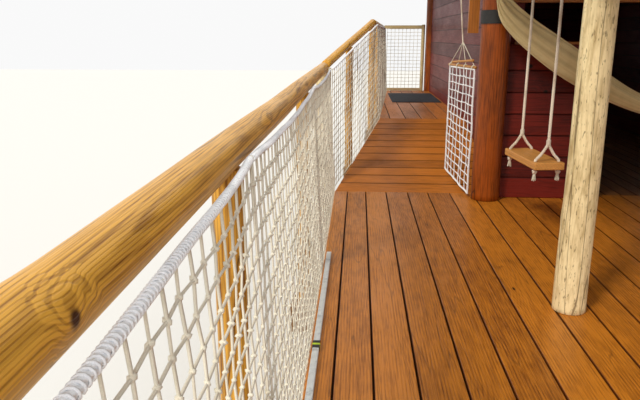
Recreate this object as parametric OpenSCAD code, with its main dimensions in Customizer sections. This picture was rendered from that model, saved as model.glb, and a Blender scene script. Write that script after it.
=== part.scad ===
// Tree house on log stilts: a hollow cabin behind a covered terrace, an open strip beside them with a
// rope net balustrade under a log handrail, a ramp up to a side landing, a hammock and a board swing.
// Millimetres. Plan positions are measured from one point on the open strip: X to the right, Y towards
// the cabin. The last lines centre the whole object on the origin and stand it on the ground at Z 0.

/* [Decks] */
// Height of the terrace boards above the ground
deck_z = 2400; // [1800:50:3200]
// Thickness of every floor
floor_t = 40; // [30:1:60]
// Depth of the joists below a floor
joist_h = 160; // [120:10:200]
// Width of a joist
joist_w = 60; // [45:5:80]
// Depth of a main bearer
bearer_h = 200; // [150:10:260]
// Width of a main bearer
bearer_w = 160; // [120:10:180]
// Left edge of the terrace
deck_left = -220; // [-240:5:-200]
// Front edge of the terrace
deck_front = -750; // [-900:10:-740]
// Where the terrace ends and the ramp starts
ramp_start = 6110; // [6100:5:6125]

/* [Ramp and landing] */
// Where the ramp meets the landing
ramp_end = 8265; // [8200:5:8300]
// Height of the landing above the terrace
landing_rise = 462; // [380:2:520]
// Left edge of the ramp at its top
ramp_top_left = 282; // [240:2:320]
// Left edge of the landing at its far end
landing_far_left = 570; // [530:5:620]
// Thickness of the mat on the landing
mat_t = 12; // [6:1:20]

/* [Stilts] */
// Diameter of the main stilts
stilt_d = 240; // [180:5:260]
// Diameter of the stilts under the landing
thin_stilt_d = 180; // [140:5:200]
// Width of a knee brace
brace_w = 90; // [60:5:110]

/* [Posts] */
// Diameter of the rough log post
log_post_d = 190; // [150:5:210]
// Diameter of the dark posts at the cabin's front corners
dark_post_d = 270; // [240:5:290]
// Diameter of the posts at the cabin's back corners
back_post_d = 255; // [220:5:270]
// Clear height under the eaves beams
eaves_h = 2300; // [2200:20:2500]
// Height of the eaves beams and tie beams
beam_h = 180; // [150:10:210]
// Width of the eaves beams
beam_w = 150; // [120:10:170]
// Height of the open space under the lintel
lintel_under = 1795; // [1750:5:1900]
// Height of the lintel
lintel_h = 150; // [120:10:180]

/* [Balustrade] */
// Height of the handrail's centre line above the boards
rail_h = 1209; // [1100:1:1260]
// Diameter of the terrace handrail
rail_d = 100; // [80:2:110]
// Diameter of the ramp and landing handrail
slope_rail_d = 90; // [70:2:100]
// Diameter of the rail posts
rail_post_d = 90; // [70:2:110]
// Diameter of the pale corner post
corner_post_d = 150; // [120:2:160]
// Distance of the handrail outside the deck edge
rail_out = 120; // [110:2:130]
// Size of one net square in the plain model
net_cell = 150; // [130:5:240]
// Thickness of a net cord in the plain model
net_cord = 8; // [6:0.5:10]
// Diameter of the rope along the net's top
top_rope_d = 28; // [20:1:30]
// Sag of that rope halfway between two posts
rope_sag = 30; // [20:5:80]

/* [Cabin] */
// Thickness of the cabin walls
wall_t = 120; // [90:5:140]
// Outer face of the cabin's front wall
wall_front = 5950; // [5940:5:5970]
// Outer face of the cabin's back wall
wall_back = 12750; // [12740:5:12790]
// Outer face of the cabin's left wall
wall_left = 1380; // [1370:2:1400]
// Height of the low front wall beside the doorway
sill_h = 1430; // [1200:10:1500]
// Left side of the doorway
door_left = 2250; // [2200:10:2350]
// Width of the doorway
door_w = 900; // [800:10:1000]
// Width of a window
window_w = 900; // [600:10:1100]
// Height of a window
window_h = 800; // [600:10:900]
// Height of a window's sill above the floor
window_sill = 950; // [800:10:1100]

/* [Roof] */
// Slope of the roof in degrees
roof_slope = 28; // [22:1:34]
// Distance from the ridge to the eaves
roof_half = 2230; // [2180:5:2260]
// Thickness of the roof boards
roof_t = 40; // [30:1:60]
// Depth of a rafter
rafter_h = 140; // [120:5:180]
// Width of a rafter
rafter_w = 60; // [50:5:80]
// Distance between two rafters
rafter_pitch = 1180; // [1170:5:1190]

/* [Swing] */
// Height of the seat above the boards
seat_z = 550; // [520:5:700]
// Length of the seat
seat_l = 650; // [600:5:720]
// Width of the seat
seat_w = 225; // [200:5:260]
// Thickness of the seat
seat_t = 55; // [40:1:60]
// Distance between the two ropes
rope_gap = 533; // [480:1:540]
// Diameter of the swing ropes
swing_rope_d = 24; // [18:1:26]
// Turn of the hanging seat in degrees
swing_turn = 6.4; // [0:0.2:8]
// Radius of a hanging pin
pin_r = 8; // [6:0.5:10]
// Clearance around a hanging pin
pin_gap = 0.08; // [0.04:0.01:0.1]

/* [Hammock] */
// Height of the hammock's lowest point above the boards
hammock_low = 765; // [700:5:900]
// Height of the hammock's gathered ends above the boards
hammock_end = 1950; // [1850:10:2000]
// Clearance between soft pieces and what they lie against
soft_gap = 0.3; // [0.2:0.1:1]

/* [Hidden] */
$fn = 48;
// Plan of the whole house
ridge_x = 2960;
right_strip = 410;
wall_right = 2 * ridge_x - wall_left;
deck_right = wall_right + right_strip;
rail_room = 90;
plan_left = deck_left - rail_out - rail_room;
plan_right = ridge_x + roof_half;
front_overhang = 300;
back_overhang = 350;
roof_front = deck_front - front_overhang;
roof_back = wall_back + back_overhang;
plan_cx = (plan_left + plan_right) / 2;
plan_cy = (roof_front + roof_back) / 2;
// Levels
D = deck_z;
L = D + landing_rise;
joist_top = D - floor_t;
bearer_top = joist_top - joist_h;
stilt_top = bearer_top - bearer_h;
rim_t = 40;
land_joist_h = 140;
land_beam_top = L - floor_t - land_joist_h;
land_beam_h = 160;
land_beam_w = 140;
slope_t = landing_rise / (ramp_end - ramp_start);
ramp_mid = (ramp_start + ramp_end) / 2;
ramp_board_h = 150;
ramp_lap = 4;
ramp_floor_t = floor_t + ramp_lap;
door_right = door_left + door_w;
// Posts
dark_x = wall_left - 160;
dark_y = wall_front - 50;
post_x = dark_x - 50;
log_y = dark_y - 2525;
front_y = deck_front + 300;
corner_y = ramp_start + 90;
back_x = wall_left + 30;
back_y = wall_back - 60;
eaves_z = D + eaves_h;
tie_z = eaves_z + beam_h;
tie_w = 120;
tie_ys = [front_y, log_y, dark_y - tie_w / 2];
rt = tan(roof_slope);
rail_x = deck_left - rail_out;
rail_z = D + rail_h;
rail_end = 40;
slope_rail_z = L + rail_h;
// Rows of stilts, bearers and rail posts along Y, and of stilts along X
first_row = deck_front + 110;
row_a = first_row + (corner_y - first_row) * 0.326;
row_b = first_row + (corner_y - first_row) * 0.66;
terrace_rows = [first_row, row_a, row_b, corner_y];
back_row = wall_back - 150;
cabin_rows = [corner_y + (back_row - corner_y) / 3, corner_y + (back_row - corner_y) * 2 / 3, back_row];
main_xs = [wall_left + 180, ridge_x + 90, wall_right + 20];
left_stilt_x = deck_left + 220;
land_first = ramp_end + 85;
land_rows = [land_first, land_first + (back_row - land_first) / 3,
    land_first + (back_row - land_first) * 2 / 3, back_row];
land_stilt_in = 180;
land_right_x = wall_left - 250;
joist_n = 5;
joist_gap = (wall_right - 120 - (wall_left + 90)) / joist_n;
long_joists = [for (i = [0:joist_n]) wall_left + 90 + i * joist_gap];
short_joists = [deck_left + joist_w / 2, deck_left + 620, deck_left + 1210, deck_right - joist_w / 2 - 30];
land_joist_end = wall_back - 210;
side_margin = 20;
joist_in = 90;
// Roof
anchor_y = corner_y + 50;
rafter_margin = 60;
ridge_w = 100;
ridge_drop = 60;
first_rafter = anchor_y - floor((anchor_y - roof_front - rafter_margin) / rafter_pitch) * rafter_pitch;
rafter_ys = concat([for (y = [first_rafter:rafter_pitch:roof_back - 2 * rafter_margin]) y],
    [roof_back - rafter_margin]);
// Swing
swing_x = dark_x + 150;
swing_y = dark_y - 975;
swing_beam_w = 150;
hang_z = eaves_z - 38;
fork_h = 172;
split_z = D + seat_z + fork_h;
leg_in = 25;
knot_d = 44;
knot_h = 50;
// Hammock
hammock_y = dark_y - 300;
net_in = 20;
net_join = 6;
post_gap = rail_post_d / 2 + net_in;
front_bays = 3;
front_bay = (deck_right - post_x) / front_bays;
bracket_h = 100;

// Left edge of the ramp and landing at a plan position
function edge_x(y) = y < ramp_end
    ? deck_left + (ramp_top_left - deck_left) * (y - ramp_start) / (ramp_end - ramp_start)
    : ramp_top_left + (landing_far_left - ramp_top_left) * (y - ramp_end) / (wall_back - ramp_end);
// Top of the ramp boards at a plan position
function ramp_z(y) = D + slope_t * (y - ramp_start);
ramp_beam_top = ramp_z(ramp_mid - land_beam_w / 2) - ramp_floor_t - ramp_board_h;
// Underside of the rafters on the left slope
function under_z(x) = tie_z + (x - post_x - beam_w / 2) * rt;
function mix(a, b, t) = a + (b - a) * t;

module box(p, s) translate(p) cube(s);
module rod(a, b, r, n = 48) {
    d = b - a;
    len = norm(d);
    translate(a) rotate([0, acos(d[2] / len), atan2(d[1], d[0])]) cylinder(h = len, r = r, $fn = n);
}
module post(x, y, z0, z1, d) translate([x, y, z0]) cylinder(h = z1 - z0, d = d);
// A profile in X and Z, drawn out along Y
module along_y(y0, len) translate([0, y0 + len, 0]) rotate([90, 0, 0]) linear_extrude(len) children();
// A profile in Y and Z, drawn out along X
module along_x(x0, len) translate([x0, 0, 0]) rotate([90, 0, 90]) linear_extrude(len) children();
module both_sides() {
    children();
    translate([2 * ridge_x, 0, 0]) mirror([1, 0, 0]) children();
}
module centred() translate([-plan_cx, -plan_cy, 0]) children();

// Dark posts, used for themselves and to cut what is fitted around them
module dark_post_shapes() both_sides() post(dark_x, dark_y, D, eaves_z, dark_post_d);
module back_post_shapes() both_sides() post(back_x, back_y, D, eaves_z, back_post_d);

// Stilts and frame
module stilts() color("#8a6a48") centred() {
    for (y = terrace_rows, x = concat([left_stilt_x], main_xs)) post(x, y, 0, stilt_top, stilt_d);
    for (y = cabin_rows, x = main_xs) post(x, y, 0, stilt_top, stilt_d);
    for (y = land_rows, x = [edge_x(y) + land_stilt_in, land_right_x]) {
        post(x, y, 0, land_beam_top - land_beam_h, thin_stilt_d);
    }
    for (x = [edge_x(ramp_mid) + land_stilt_in, land_right_x]) {
        post(x, ramp_mid, 0, ramp_beam_top - land_beam_h, thin_stilt_d);
    }
}
module stilt_braces() color("#7a5a3c") centred() {
    for (y = concat(terrace_rows, cabin_rows)) {
        knee_side(main_xs[0], y, 1);
        knee_side(main_xs[1], y, 1);
        knee_side(main_xs[1], y, -1);
        knee_side(main_xs[2], y, -1);
    }
    for (y = terrace_rows) knee_side(left_stilt_x, y, 1);
}
// A brace drawn as a flat profile, trimmed where it meets the round stilt
brace_reach = 740;
module knee_side(x, y, dir) difference() {
    along_y(y - brace_w / 2, brace_w) polygon([
        [x, stilt_top - brace_reach], [x, stilt_top - brace_reach + 1.42 * brace_w],
        [x + dir * (brace_reach - 1.42 * brace_w), stilt_top], [x + dir * brace_reach, stilt_top]]);
    post(x, y, 0, stilt_top + 10, stilt_d);
}
module bearers() color("#7a5a3c") centred() {
    for (y = terrace_rows) {
        box([plan_left, y - bearer_w / 2, stilt_top],
            [deck_right + rail_out + rail_room - plan_left, bearer_w, bearer_h]);
    }
    for (y = cabin_rows) {
        box([wall_left, y - bearer_w / 2, stilt_top], [wall_right + 120 - wall_left, bearer_w, bearer_h]);
    }
    for (y = land_rows) land_beam(y, land_beam_top);
    land_beam(ramp_mid, ramp_beam_top);
    to_front() for (i = [0:front_bays]) {
        box([rail_x - rail_post_d / 2, i * front_bay - rail_post_d / 2, joist_top - bracket_h],
            [rail_out + rail_post_d / 2, rail_post_d, bracket_h]);
    }
}
module joists() color("#8b5a35") centred() {
    for (x = short_joists) {
        box([x - joist_w / 2, deck_front + rim_t, bearer_top],
            [joist_w, ramp_start - deck_front - 2 * rim_t, joist_h]);
    }
    for (x = long_joists) {
        box([x - joist_w / 2, deck_front + rim_t, bearer_top],
            [joist_w, wall_back - deck_front - 2 * rim_t, joist_h]);
    }
    y = land_joist_end;
    m0 = (edge_x(ramp_end) + wall_left - joist_in) / 2;
    m1 = (edge_x(y) + wall_left - joist_in) / 2;
    translate([0, 0, land_beam_top]) linear_extrude(land_joist_h) {
        polygon([[edge_x(ramp_end) + side_margin, ramp_end], [edge_x(y) + side_margin, y],
            [edge_x(y) + side_margin + joist_w, y], [edge_x(ramp_end) + side_margin + joist_w, ramp_end]]);
        polygon([[m0, ramp_end], [m1, y], [m1 + joist_w, y], [m0 + joist_w, ramp_end]]);
        polygon([[wall_left - joist_in, ramp_end], [wall_left - joist_in, y],
            [wall_left - joist_in + joist_w, y], [wall_left - joist_in + joist_w, ramp_end]]);
    }
}
module rim_boards() color("#7d3f22") centred() {
    box([deck_left, deck_front, bearer_top], [deck_right - deck_left, rim_t, joist_h]);
    box([deck_left, ramp_start - rim_t, bearer_top], [wall_left - deck_left, rim_t, joist_h]);
    box([wall_right, ramp_start - rim_t, bearer_top], [deck_right - wall_right, rim_t, joist_h]);
    box([wall_left, wall_back - rim_t, bearer_top], [wall_right - wall_left, rim_t, joist_h]);
}
module land_beam(y, top) box([edge_x(y) - rail_out - 70, y - land_beam_w / 2, top - land_beam_h],
    [land_right_x + 130 - edge_x(y) + rail_out + 70, land_beam_w, land_beam_h]);
// Plan of the landing
module landing_plan() polygon([[edge_x(ramp_end), ramp_end], [edge_x(wall_back), wall_back],
    [wall_left, wall_back], [wall_left, ramp_end]]);
module ramp_strip(x_low, x_high, w, z0, z1) intersection() {
    along_x(deck_left - 50, wall_left - deck_left + 50) polygon([
        [ramp_start, D - z1], [ramp_end, L - z1], [ramp_end, L - z0], [ramp_start, D - z0]]);
    translate([0, 0, D - 1000]) linear_extrude(2500) polygon([
        [x_low, ramp_start], [x_high, ramp_end], [x_high + w[1], ramp_end], [x_low + w[0], ramp_start]]);
}
module ramp_boards() color("#8b5a35") centred() {
    z1 = ramp_floor_t + ramp_board_h;
    w = [joist_w, joist_w];
    ramp_strip(deck_left + side_margin, ramp_top_left + side_margin, w, ramp_floor_t, z1);
    ramp_strip((deck_left + wall_left) / 2, (ramp_top_left + wall_left - joist_in) / 2, w, ramp_floor_t, z1);
    ramp_strip(wall_left - joist_in, wall_left - joist_in, w, ramp_floor_t, z1);
}

// Floors
module terrace_deck() color("#a5522a") centred()
    box([deck_left, deck_front, joist_top], [deck_right - deck_left, ramp_start - deck_front, floor_t]);
module cabin_floor() color("#8a5530") centred()
    box([wall_left, ramp_start, joist_top], [wall_right - wall_left, wall_back - ramp_start, floor_t]);
module ramp_deck() color("#b06a34") centred()
    ramp_strip(deck_left, ramp_top_left, [wall_left - deck_left, wall_left - ramp_top_left], 0, ramp_floor_t);
module landing_deck() color("#a5522a") centred() difference() {
    translate([0, 0, L - floor_t]) linear_extrude(floor_t) landing_plan();
    back_post_shapes();
}
mat_l = 1650;
mat_side = 30;
mat_back = 2400;
mat_y = wall_back - mat_back;
module landing_mat() color("#20242c") centred()
    box([edge_x(mat_y + mat_l) + mat_side, mat_y, L],
        [wall_left - 2 * mat_side - edge_x(mat_y + mat_l), mat_l, mat_t]);
trunk_w = 33;
trunk_h = 22;
trunk_past = 345;
module edge_trunking() color("#a9a9a4") centred()
    box([deck_left + 13, deck_front + 50, D], [trunk_w, row_b + trunk_past - deck_front - 50, trunk_h]);

// Balustrade
module terrace_rail_body(y0, y1) rod([rail_x, y0, rail_z], [rail_x, y1, rail_z], rail_d / 2);
module handrail_terrace() color("#b9782f") centred()
    terrace_rail_body(deck_front - rail_end, corner_y + corner_post_d / 2);
function slope_rail_x(y) = edge_x(y) - rail_out;
rail_rise = 10;
rail_stop = back_row + 60;
module ramp_rail_body(gap = 0) rod([rail_x, corner_y, rail_z + rail_rise],
    [slope_rail_x(land_first), land_first, slope_rail_z], slope_rail_d / 2 + gap);
module landing_rail_body(y0, y1, gap = 0) rod([slope_rail_x(y0), y0, slope_rail_z],
    [slope_rail_x(y1), y1, slope_rail_z], slope_rail_d / 2 + gap);
module handrail_slope() color("#b9782f") centred() {
    difference() {
        ramp_rail_body();
        post(rail_x, corner_y, rail_z - 600, rail_z + 40, corner_post_d);
        terrace_rail_body(corner_y - 200, corner_y + corner_post_d / 2);
        box([plan_left, land_first, L], [2000, 400, 2500]);
    }
    landing_rail_body(land_first + 4, rail_stop);
}
module corner_post() color("#d9c39a") centred() difference() {
    post(rail_x, corner_y, bearer_top, rail_z + 40, corner_post_d);
    terrace_rail_body(corner_y - 200, corner_y + corner_post_d / 2);
}
// Right and front balustrade, of the same build as the left one
module to_right() translate([deck_left + deck_right, 0, 0]) mirror([1, 0, 0]) children();
module to_front() translate([deck_right, deck_front - deck_left, 0]) rotate([0, 0, 90]) children();
return_y = corner_y;
module handrail_right() color("#b9782f") centred() {
    to_right() terrace_rail_body(deck_front - rail_out - rail_d / 2, corner_y + rail_d / 2);
    rod([wall_right, return_y, rail_z], [deck_right + rail_out - rail_d / 2 - soft_gap, return_y, rail_z],
        rail_d / 2);
    to_front() terrace_rail_body(soft_gap + rail_d / 2 - rail_out, front_bays * front_bay + rail_post_d);
}
module rail_posts() color("#c08a4a") centred() {
    difference() {
        for (y = [first_row, row_a, row_b]) post(rail_x, y, bearer_top, rail_z, rail_post_d);
        terrace_rail_body(deck_front - 60, corner_y);
    }
    difference() {
        union() {
            for (y = land_rows) post(slope_rail_x(y), y, land_beam_top, slope_rail_z, rail_post_d);
            post(slope_rail_x(ramp_mid), ramp_mid, ramp_beam_top, rail_z + landing_rise / 2 + 20,
                rail_post_d);
        }
        ramp_rail_body(soft_gap);
        landing_rail_body(land_first - 20, back_row + 100, soft_gap);
    }
    difference() {
        union() {
            to_right() for (y = terrace_rows) post(rail_x, y, bearer_top, rail_z, rail_post_d);
            to_front() for (i = [0:front_bays]) post(rail_x, i * front_bay, joist_top, rail_z, rail_post_d);
        }
        to_right() terrace_rail_body(deck_front - 300, corner_y + 200);
        to_front() terrace_rail_body(-300, front_bays * front_bay + 200);
    }
}

// Nets
net_drop = 25;
// Plain net between the deck edge and the handrail along Y: straight rows, columns up to a sagging rope
module bay_net(y0, y1, gap0 = net_join, gap1 = net_join) {
    a = y0 + gap0;
    b = y1 - gap1;
    nu = round((b - a) / net_cell);
    bot = [deck_left - net_cord / 2 - soft_gap, D - net_drop];
    top = [rail_x + rail_d / 2 + top_rope_d / 2 + soft_gap, rail_z - 16];
    nv = round((top[1] - rope_sag - bot[1]) / net_cell);
    rows_top = 1 - (rope_sag + 40) / (top[1] - bot[1]);
    for (i = [0:nu]) {
        t = i / nu;
        s = 1 - 4 * t * (1 - t) * rope_sag / (top[1] - bot[1]);
        rod([bot[0], mix(a, b, t), bot[1]], [mix(bot[0], top[0], s), mix(a, b, t), mix(bot[1], top[1], s)],
            net_cord / 2, 4);
    }
    for (j = [0:nv]) {
        t = rows_top * j / nv;
        rod([mix(bot[0], top[0], t), a, mix(bot[1], top[1], t)],
            [mix(bot[0], top[0], t), b, mix(bot[1], top[1], t)], net_cord / 2, 4);
    }
    for (k = [0:3]) {
        t0 = k / 4;
        t1 = (k + 1) / 4;
        s0 = 1 - 4 * t0 * (1 - t0) * rope_sag / (top[1] - bot[1]);
        s1 = 1 - 4 * t1 * (1 - t1) * rope_sag / (top[1] - bot[1]);
        rod([mix(bot[0], top[0], s0), mix(a, b, t0), mix(bot[1], top[1], s0)],
            [mix(bot[0], top[0], s1), mix(a, b, t1), mix(bot[1], top[1], s1)], top_rope_d / 2, 8);
    }
}
// Plain net on a four-sided patch: corners low start, low end, high start, high end
module patch_net(p, q, r, s, nu, nv, rope = true) {
    for (i = [0:nu]) {
        rod(mix(p, q, i / nu), mix(r, s, i / nu), net_cord / 2, 4);
    }
    for (j = [0:nv]) {
        rod(mix(p, r, j / nv), mix(q, s, j / nv), net_cord / 2, 4);
    }
    if (rope) rod(r, s, top_rope_d / 2, 8);
}
module terrace_net() color("#e8e2d2") centred() {
    bay_net(first_row, row_a);
    bay_net(row_a, row_b);
    bay_net(row_b, corner_y, net_join, corner_post_d / 2 + net_in);
}
module right_net() color("#e8e2d2") centred() to_right() {
    bay_net(first_row, row_a);
    bay_net(row_a, row_b);
    bay_net(row_b, corner_y, net_join, post_gap);
}
module front_net() color("#e8e2d2") centred() to_front()
    for (i = [0:front_bays - 1]) bay_net(i * front_bay, (i + 1) * front_bay);
module slope_net(y0, y1, z0, z1, gap0, gap1) {
    a = y0 + gap0;
    b = y1 - gap1;
    za = mix(z0, z1, (a - y0) / (y1 - y0));
    zb = mix(z0, z1, (b - y0) / (y1 - y0));
    lo = net_cord / 2 + soft_gap;
    up = rail_out - slope_rail_d / 2 - top_rope_d / 2 - 5;
    patch_net([edge_x(a) - lo, a, za - 15], [edge_x(b) - lo, b, zb - 15],
        [edge_x(a) - up, a, za + rail_h - 30], [edge_x(b) - up, b, zb + rail_h - 30],
        round((b - a) / net_cell), round(rail_h / net_cell));
}
module ramp_net() color("#e8e2d2") centred() {
    slope_net(ramp_start, ramp_mid, D, ramp_z(ramp_mid), 190, net_join);
    slope_net(ramp_mid, ramp_end, ramp_z(ramp_mid), L, net_join, net_join);
}
end_post_x = land_right_x + 100;
end_post_d = 60;
end_bar_w = 50;
end_bar_h = [10, 54, 1186, 1246];
rail_reach = 200;
module landing_net() color("#e8e2d2") centred() {
    slope_net(ramp_end, land_rows[1], L, L, net_join, net_join);
    slope_net(land_rows[1], land_rows[2], L, L, net_join, net_join);
    slope_net(land_rows[2], land_rows[3], L, L, net_join, post_gap);
    x0 = edge_x(back_row) - 20;
    x1 = end_post_x - end_post_d / 2 - net_cord / 2 - soft_gap;
    z0 = L + end_bar_h[1] + net_cord / 2 + soft_gap;
    z1 = L + end_bar_h[2] - net_cord / 2 - soft_gap;
    patch_net([x0, back_row, z0], [x1, back_row, z0], [x0, back_row, z1], [x1, back_row, z1], 5, 8, false);
}
module landing_end_frame() color("#d9c39a") centred() {
    xa = slope_rail_x(back_row) + rail_post_d / 2;
    difference() {
        for (i = [0, 2]) {
            box([xa, back_row - end_bar_w / 2, L + end_bar_h[i]],
                [end_post_x - xa, end_bar_w, end_bar_h[i + 1] - end_bar_h[i]]);
        }
        landing_rail_body(back_row - rail_reach, back_row + rail_reach, soft_gap);
    }
    post(end_post_x, back_row, L, L + end_bar_h[3] + 14, end_post_d);
}

// Posts and beams of the covered terrace
log_in = 40;
log_taper = 25;
module log_post() color("#c9b27c") centred() translate([post_x + log_in, log_y, D])
    cylinder(h = eaves_z - D, d1 = log_post_d, d2 = log_post_d - log_taper);
module porch_posts() color("#b79a66") centred() {
    post(post_x, front_y, D, eaves_z, log_post_d);
    for (y = [front_y, log_y]) post(2 * ridge_x - post_x, y, D, eaves_z, log_post_d);
}
module dark_posts() color("#7c3418") centred() {
    dark_post_shapes();
    back_post_shapes();
}
beam_in = 150;
module eaves_beams() color("#a2602c") centred() both_sides()
    box([post_x - beam_w / 2, roof_front + beam_in, eaves_z],
        [beam_w, roof_back - roof_front - 2 * beam_in, beam_h]);
lintel_lap = 60;
lintel_out = 10;
module cross_beams() color("#b5702e") centred() {
    for (y = tie_ys) {
        box([post_x + beam_w / 2, y - tie_w / 2, eaves_z],
            [2 * (ridge_x - post_x) - beam_w, tie_w, beam_h]);
    }
    lintel();
}
module lintel() difference() {
    box([wall_left - lintel_lap, wall_front - lintel_out, D + lintel_under],
        [2 * (ridge_x - wall_left + lintel_lap), wall_t + lintel_out, lintel_h]);
    dark_post_shapes();
}
module swing_beam() color("#a2602c") centred()
    box([swing_x - swing_beam_w / 2, tie_ys[1] + tie_w / 2, eaves_z],
        [swing_beam_w, tie_ys[2] - tie_ys[1] - tie_w, swing_beam_w]);

// Cabin
front_lap = 80;
module front_wall_left() color("#5c1f16") centred() difference() {
    box([wall_left - front_lap, wall_front, D], [door_left - wall_left + front_lap, wall_t, sill_h]);
    dark_post_shapes();
}
module front_wall_right() color("#5c1f16") centred() difference() {
    box([door_right, wall_front, D], [wall_right + front_lap - door_right, wall_t, sill_h]);
    dark_post_shapes();
}
ridge_under = under_z(ridge_x - ridge_w / 2) - ridge_drop;
back_split = 1900;
// Gable above the lintel or above a wall, up to the roof boards between the side walls
module gable(y0, z0) along_y(y0, wall_t) polygon([
    [wall_left, z0], [wall_left, under_z(wall_left) + rafter_h],
    [ridge_x - ridge_w / 2, ridge_under + ridge_drop + rafter_h], [ridge_x - ridge_w / 2, ridge_under],
    [ridge_x + ridge_w / 2, ridge_under], [ridge_x + ridge_w / 2, ridge_under + ridge_drop + rafter_h],
    [wall_right, under_z(wall_left) + rafter_h], [wall_right, z0]]);
module front_gable() color("#5c1f16") centred() gable(wall_front, D + lintel_under + lintel_h);
back_window_x = ridge_x - 360;
module back_wall() color("#5c1f16") centred() difference() {
    union() {
        box([wall_left, wall_back - wall_t, D], [wall_right - wall_left, wall_t, back_split]);
        gable(wall_back - wall_t, D + back_split);
    }
    back_post_shapes();
    box([back_window_x - window_w / 2, wall_back - wall_t - 10, D + window_sill],
        [window_w, wall_t + 20, window_h]);
}
module side_wall(windows) difference() {
    along_y(wall_front + wall_t, wall_back - wall_front - 2 * wall_t)
        polygon([[wall_left, D], [wall_left, under_z(wall_left)],
            [wall_left + wall_t, under_z(wall_left + wall_t)], [wall_left + wall_t, D]]);
    back_post_shapes();
    for (y = windows) {
        box([wall_left - 10, y - window_w / 2, D + window_sill], [wall_t + 20, window_w, window_h]);
    }
}
module left_wall() color("#5c1f16") centred() side_wall([]);
module right_wall() color("#5c1f16") centred()
    translate([2 * ridge_x, 0, 0]) mirror([1, 0, 0]) side_wall([wall_front + 1450, wall_back - 3450]);

// Roof
module half_profile(x0, x1, z0, z1) polygon([
    [x0, under_z(x0) + z0], [x1, under_z(x1) + z0], [x1, under_z(x1) + z1], [x0, under_z(x0) + z1]]);
rafter_end = 30;
module rafters() color("#8b5a35") centred() both_sides() difference() {
    for (y = rafter_ys) {
        along_y(y - rafter_w / 2, rafter_w)
            half_profile(ridge_x - roof_half + rafter_end, ridge_x - ridge_w / 2, 0, rafter_h);
    }
    box([post_x - beam_w / 2, roof_front, eaves_z], [beam_w, roof_back - roof_front, beam_h]);
}
ridge_end = 40;
module ridge_beam() color("#8b5a35") centred()
    box([ridge_x - ridge_w / 2, roof_front + ridge_end, ridge_under],
        [ridge_w, roof_back - roof_front - 2 * ridge_end, rafter_h + ridge_drop]);
module roof_half_boards() along_y(roof_front, roof_back - roof_front) polygon([
    [ridge_x - roof_half, under_z(ridge_x - roof_half) + rafter_h],
    [ridge_x - ridge_w / 2, ridge_under + ridge_drop + rafter_h],
    [ridge_x, ridge_under + ridge_drop + rafter_h], [ridge_x, under_z(ridge_x) + rafter_h + roof_t],
    [ridge_x - roof_half, under_z(ridge_x - roof_half) + rafter_h + roof_t]]);
module roof_left() color("#6b4a32") centred() roof_half_boards();
module roof_right() color("#6b4a32") centred()
    translate([2 * ridge_x, 0, 0]) mirror([1, 0, 0]) roof_half_boards();

// Swing
module swing_frame() translate([swing_x, swing_y, 0]) rotate([0, 0, swing_turn]) children();
hang_ys = [-rope_gap / 2, rope_gap / 2];
hanger_t = 10;
hanger_w = 60;
ear_t = 8;
ear_w = 28;
ear_in = 16;
eye_w = 20;
module swing_hangers() color("#55504a") centred() swing_frame() for (y = hang_ys) {
    box([-hanger_w / 2, y - hanger_w / 2, eaves_z - hanger_t], [hanger_w, hanger_w, hanger_t]);
    for (s = [-1, 1]) {
        difference() {
            box([-ear_w / 2, y + s * (ear_in + ear_t / 2) - ear_t / 2, hang_z - pin_r - 8],
                [ear_w, ear_t, eaves_z - hanger_t - hang_z + pin_r + 8]);
            translate([0, y - 40, hang_z]) rotate([-90, 0, 0]) cylinder(h = 80, r = pin_r - 1);
        }
    }
    translate([0, y - ear_in - ear_t, hang_z]) rotate([-90, 0, 0])
        cylinder(h = 2 * (ear_in + ear_t), r = pin_r);
}
module swing_ropes() color("#e6ddcb") centred() swing_frame() for (y = hang_ys) {
    leg_x = seat_w / 2 - leg_in;
    difference() {
        translate([0, y - eye_w / 2, hang_z]) rotate([-90, 0, 0]) cylinder(h = eye_w, r = pin_r + 12);
        translate([0, y - eye_w, hang_z]) rotate([-90, 0, 0]) cylinder(h = 2 * eye_w, r = pin_r + pin_gap);
    }
    translate([0, y, split_z]) cylinder(h = hang_z - pin_r - 6 - split_z, d = swing_rope_d);
    for (s = [-1, 1]) {
        rod([0, y, split_z + 4], [s * leg_x, y, D + seat_z + seat_t], swing_rope_d / 2);
        translate([s * leg_x, y, D + seat_z - 12]) cylinder(h = seat_t + 14, d = swing_rope_d);
        translate([s * leg_x, y, D + seat_z - knot_h - soft_gap]) cylinder(h = knot_h, d = knot_d);
    }
}
module swing_seat() color("#c9823c") centred() swing_frame() difference() {
    leg_x = seat_w / 2 - leg_in;
    box([-seat_w / 2, -seat_l / 2, D + seat_z], [seat_w, seat_l, seat_t]);
    for (y = hang_ys, s = [-1, 1]) {
        translate([s * leg_x, y, D + seat_z - 1])
            cylinder(h = seat_t + 2, d = swing_rope_d + 2 * soft_gap);
        rod([0, y, split_z + 4], [s * leg_x, y, D + seat_z + seat_t], swing_rope_d / 2 + soft_gap);
    }
}

// Hammock
hammock_out = 70;
hammock_x = dark_x - hammock_out;
half_span = ridge_x - hammock_x;
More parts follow.
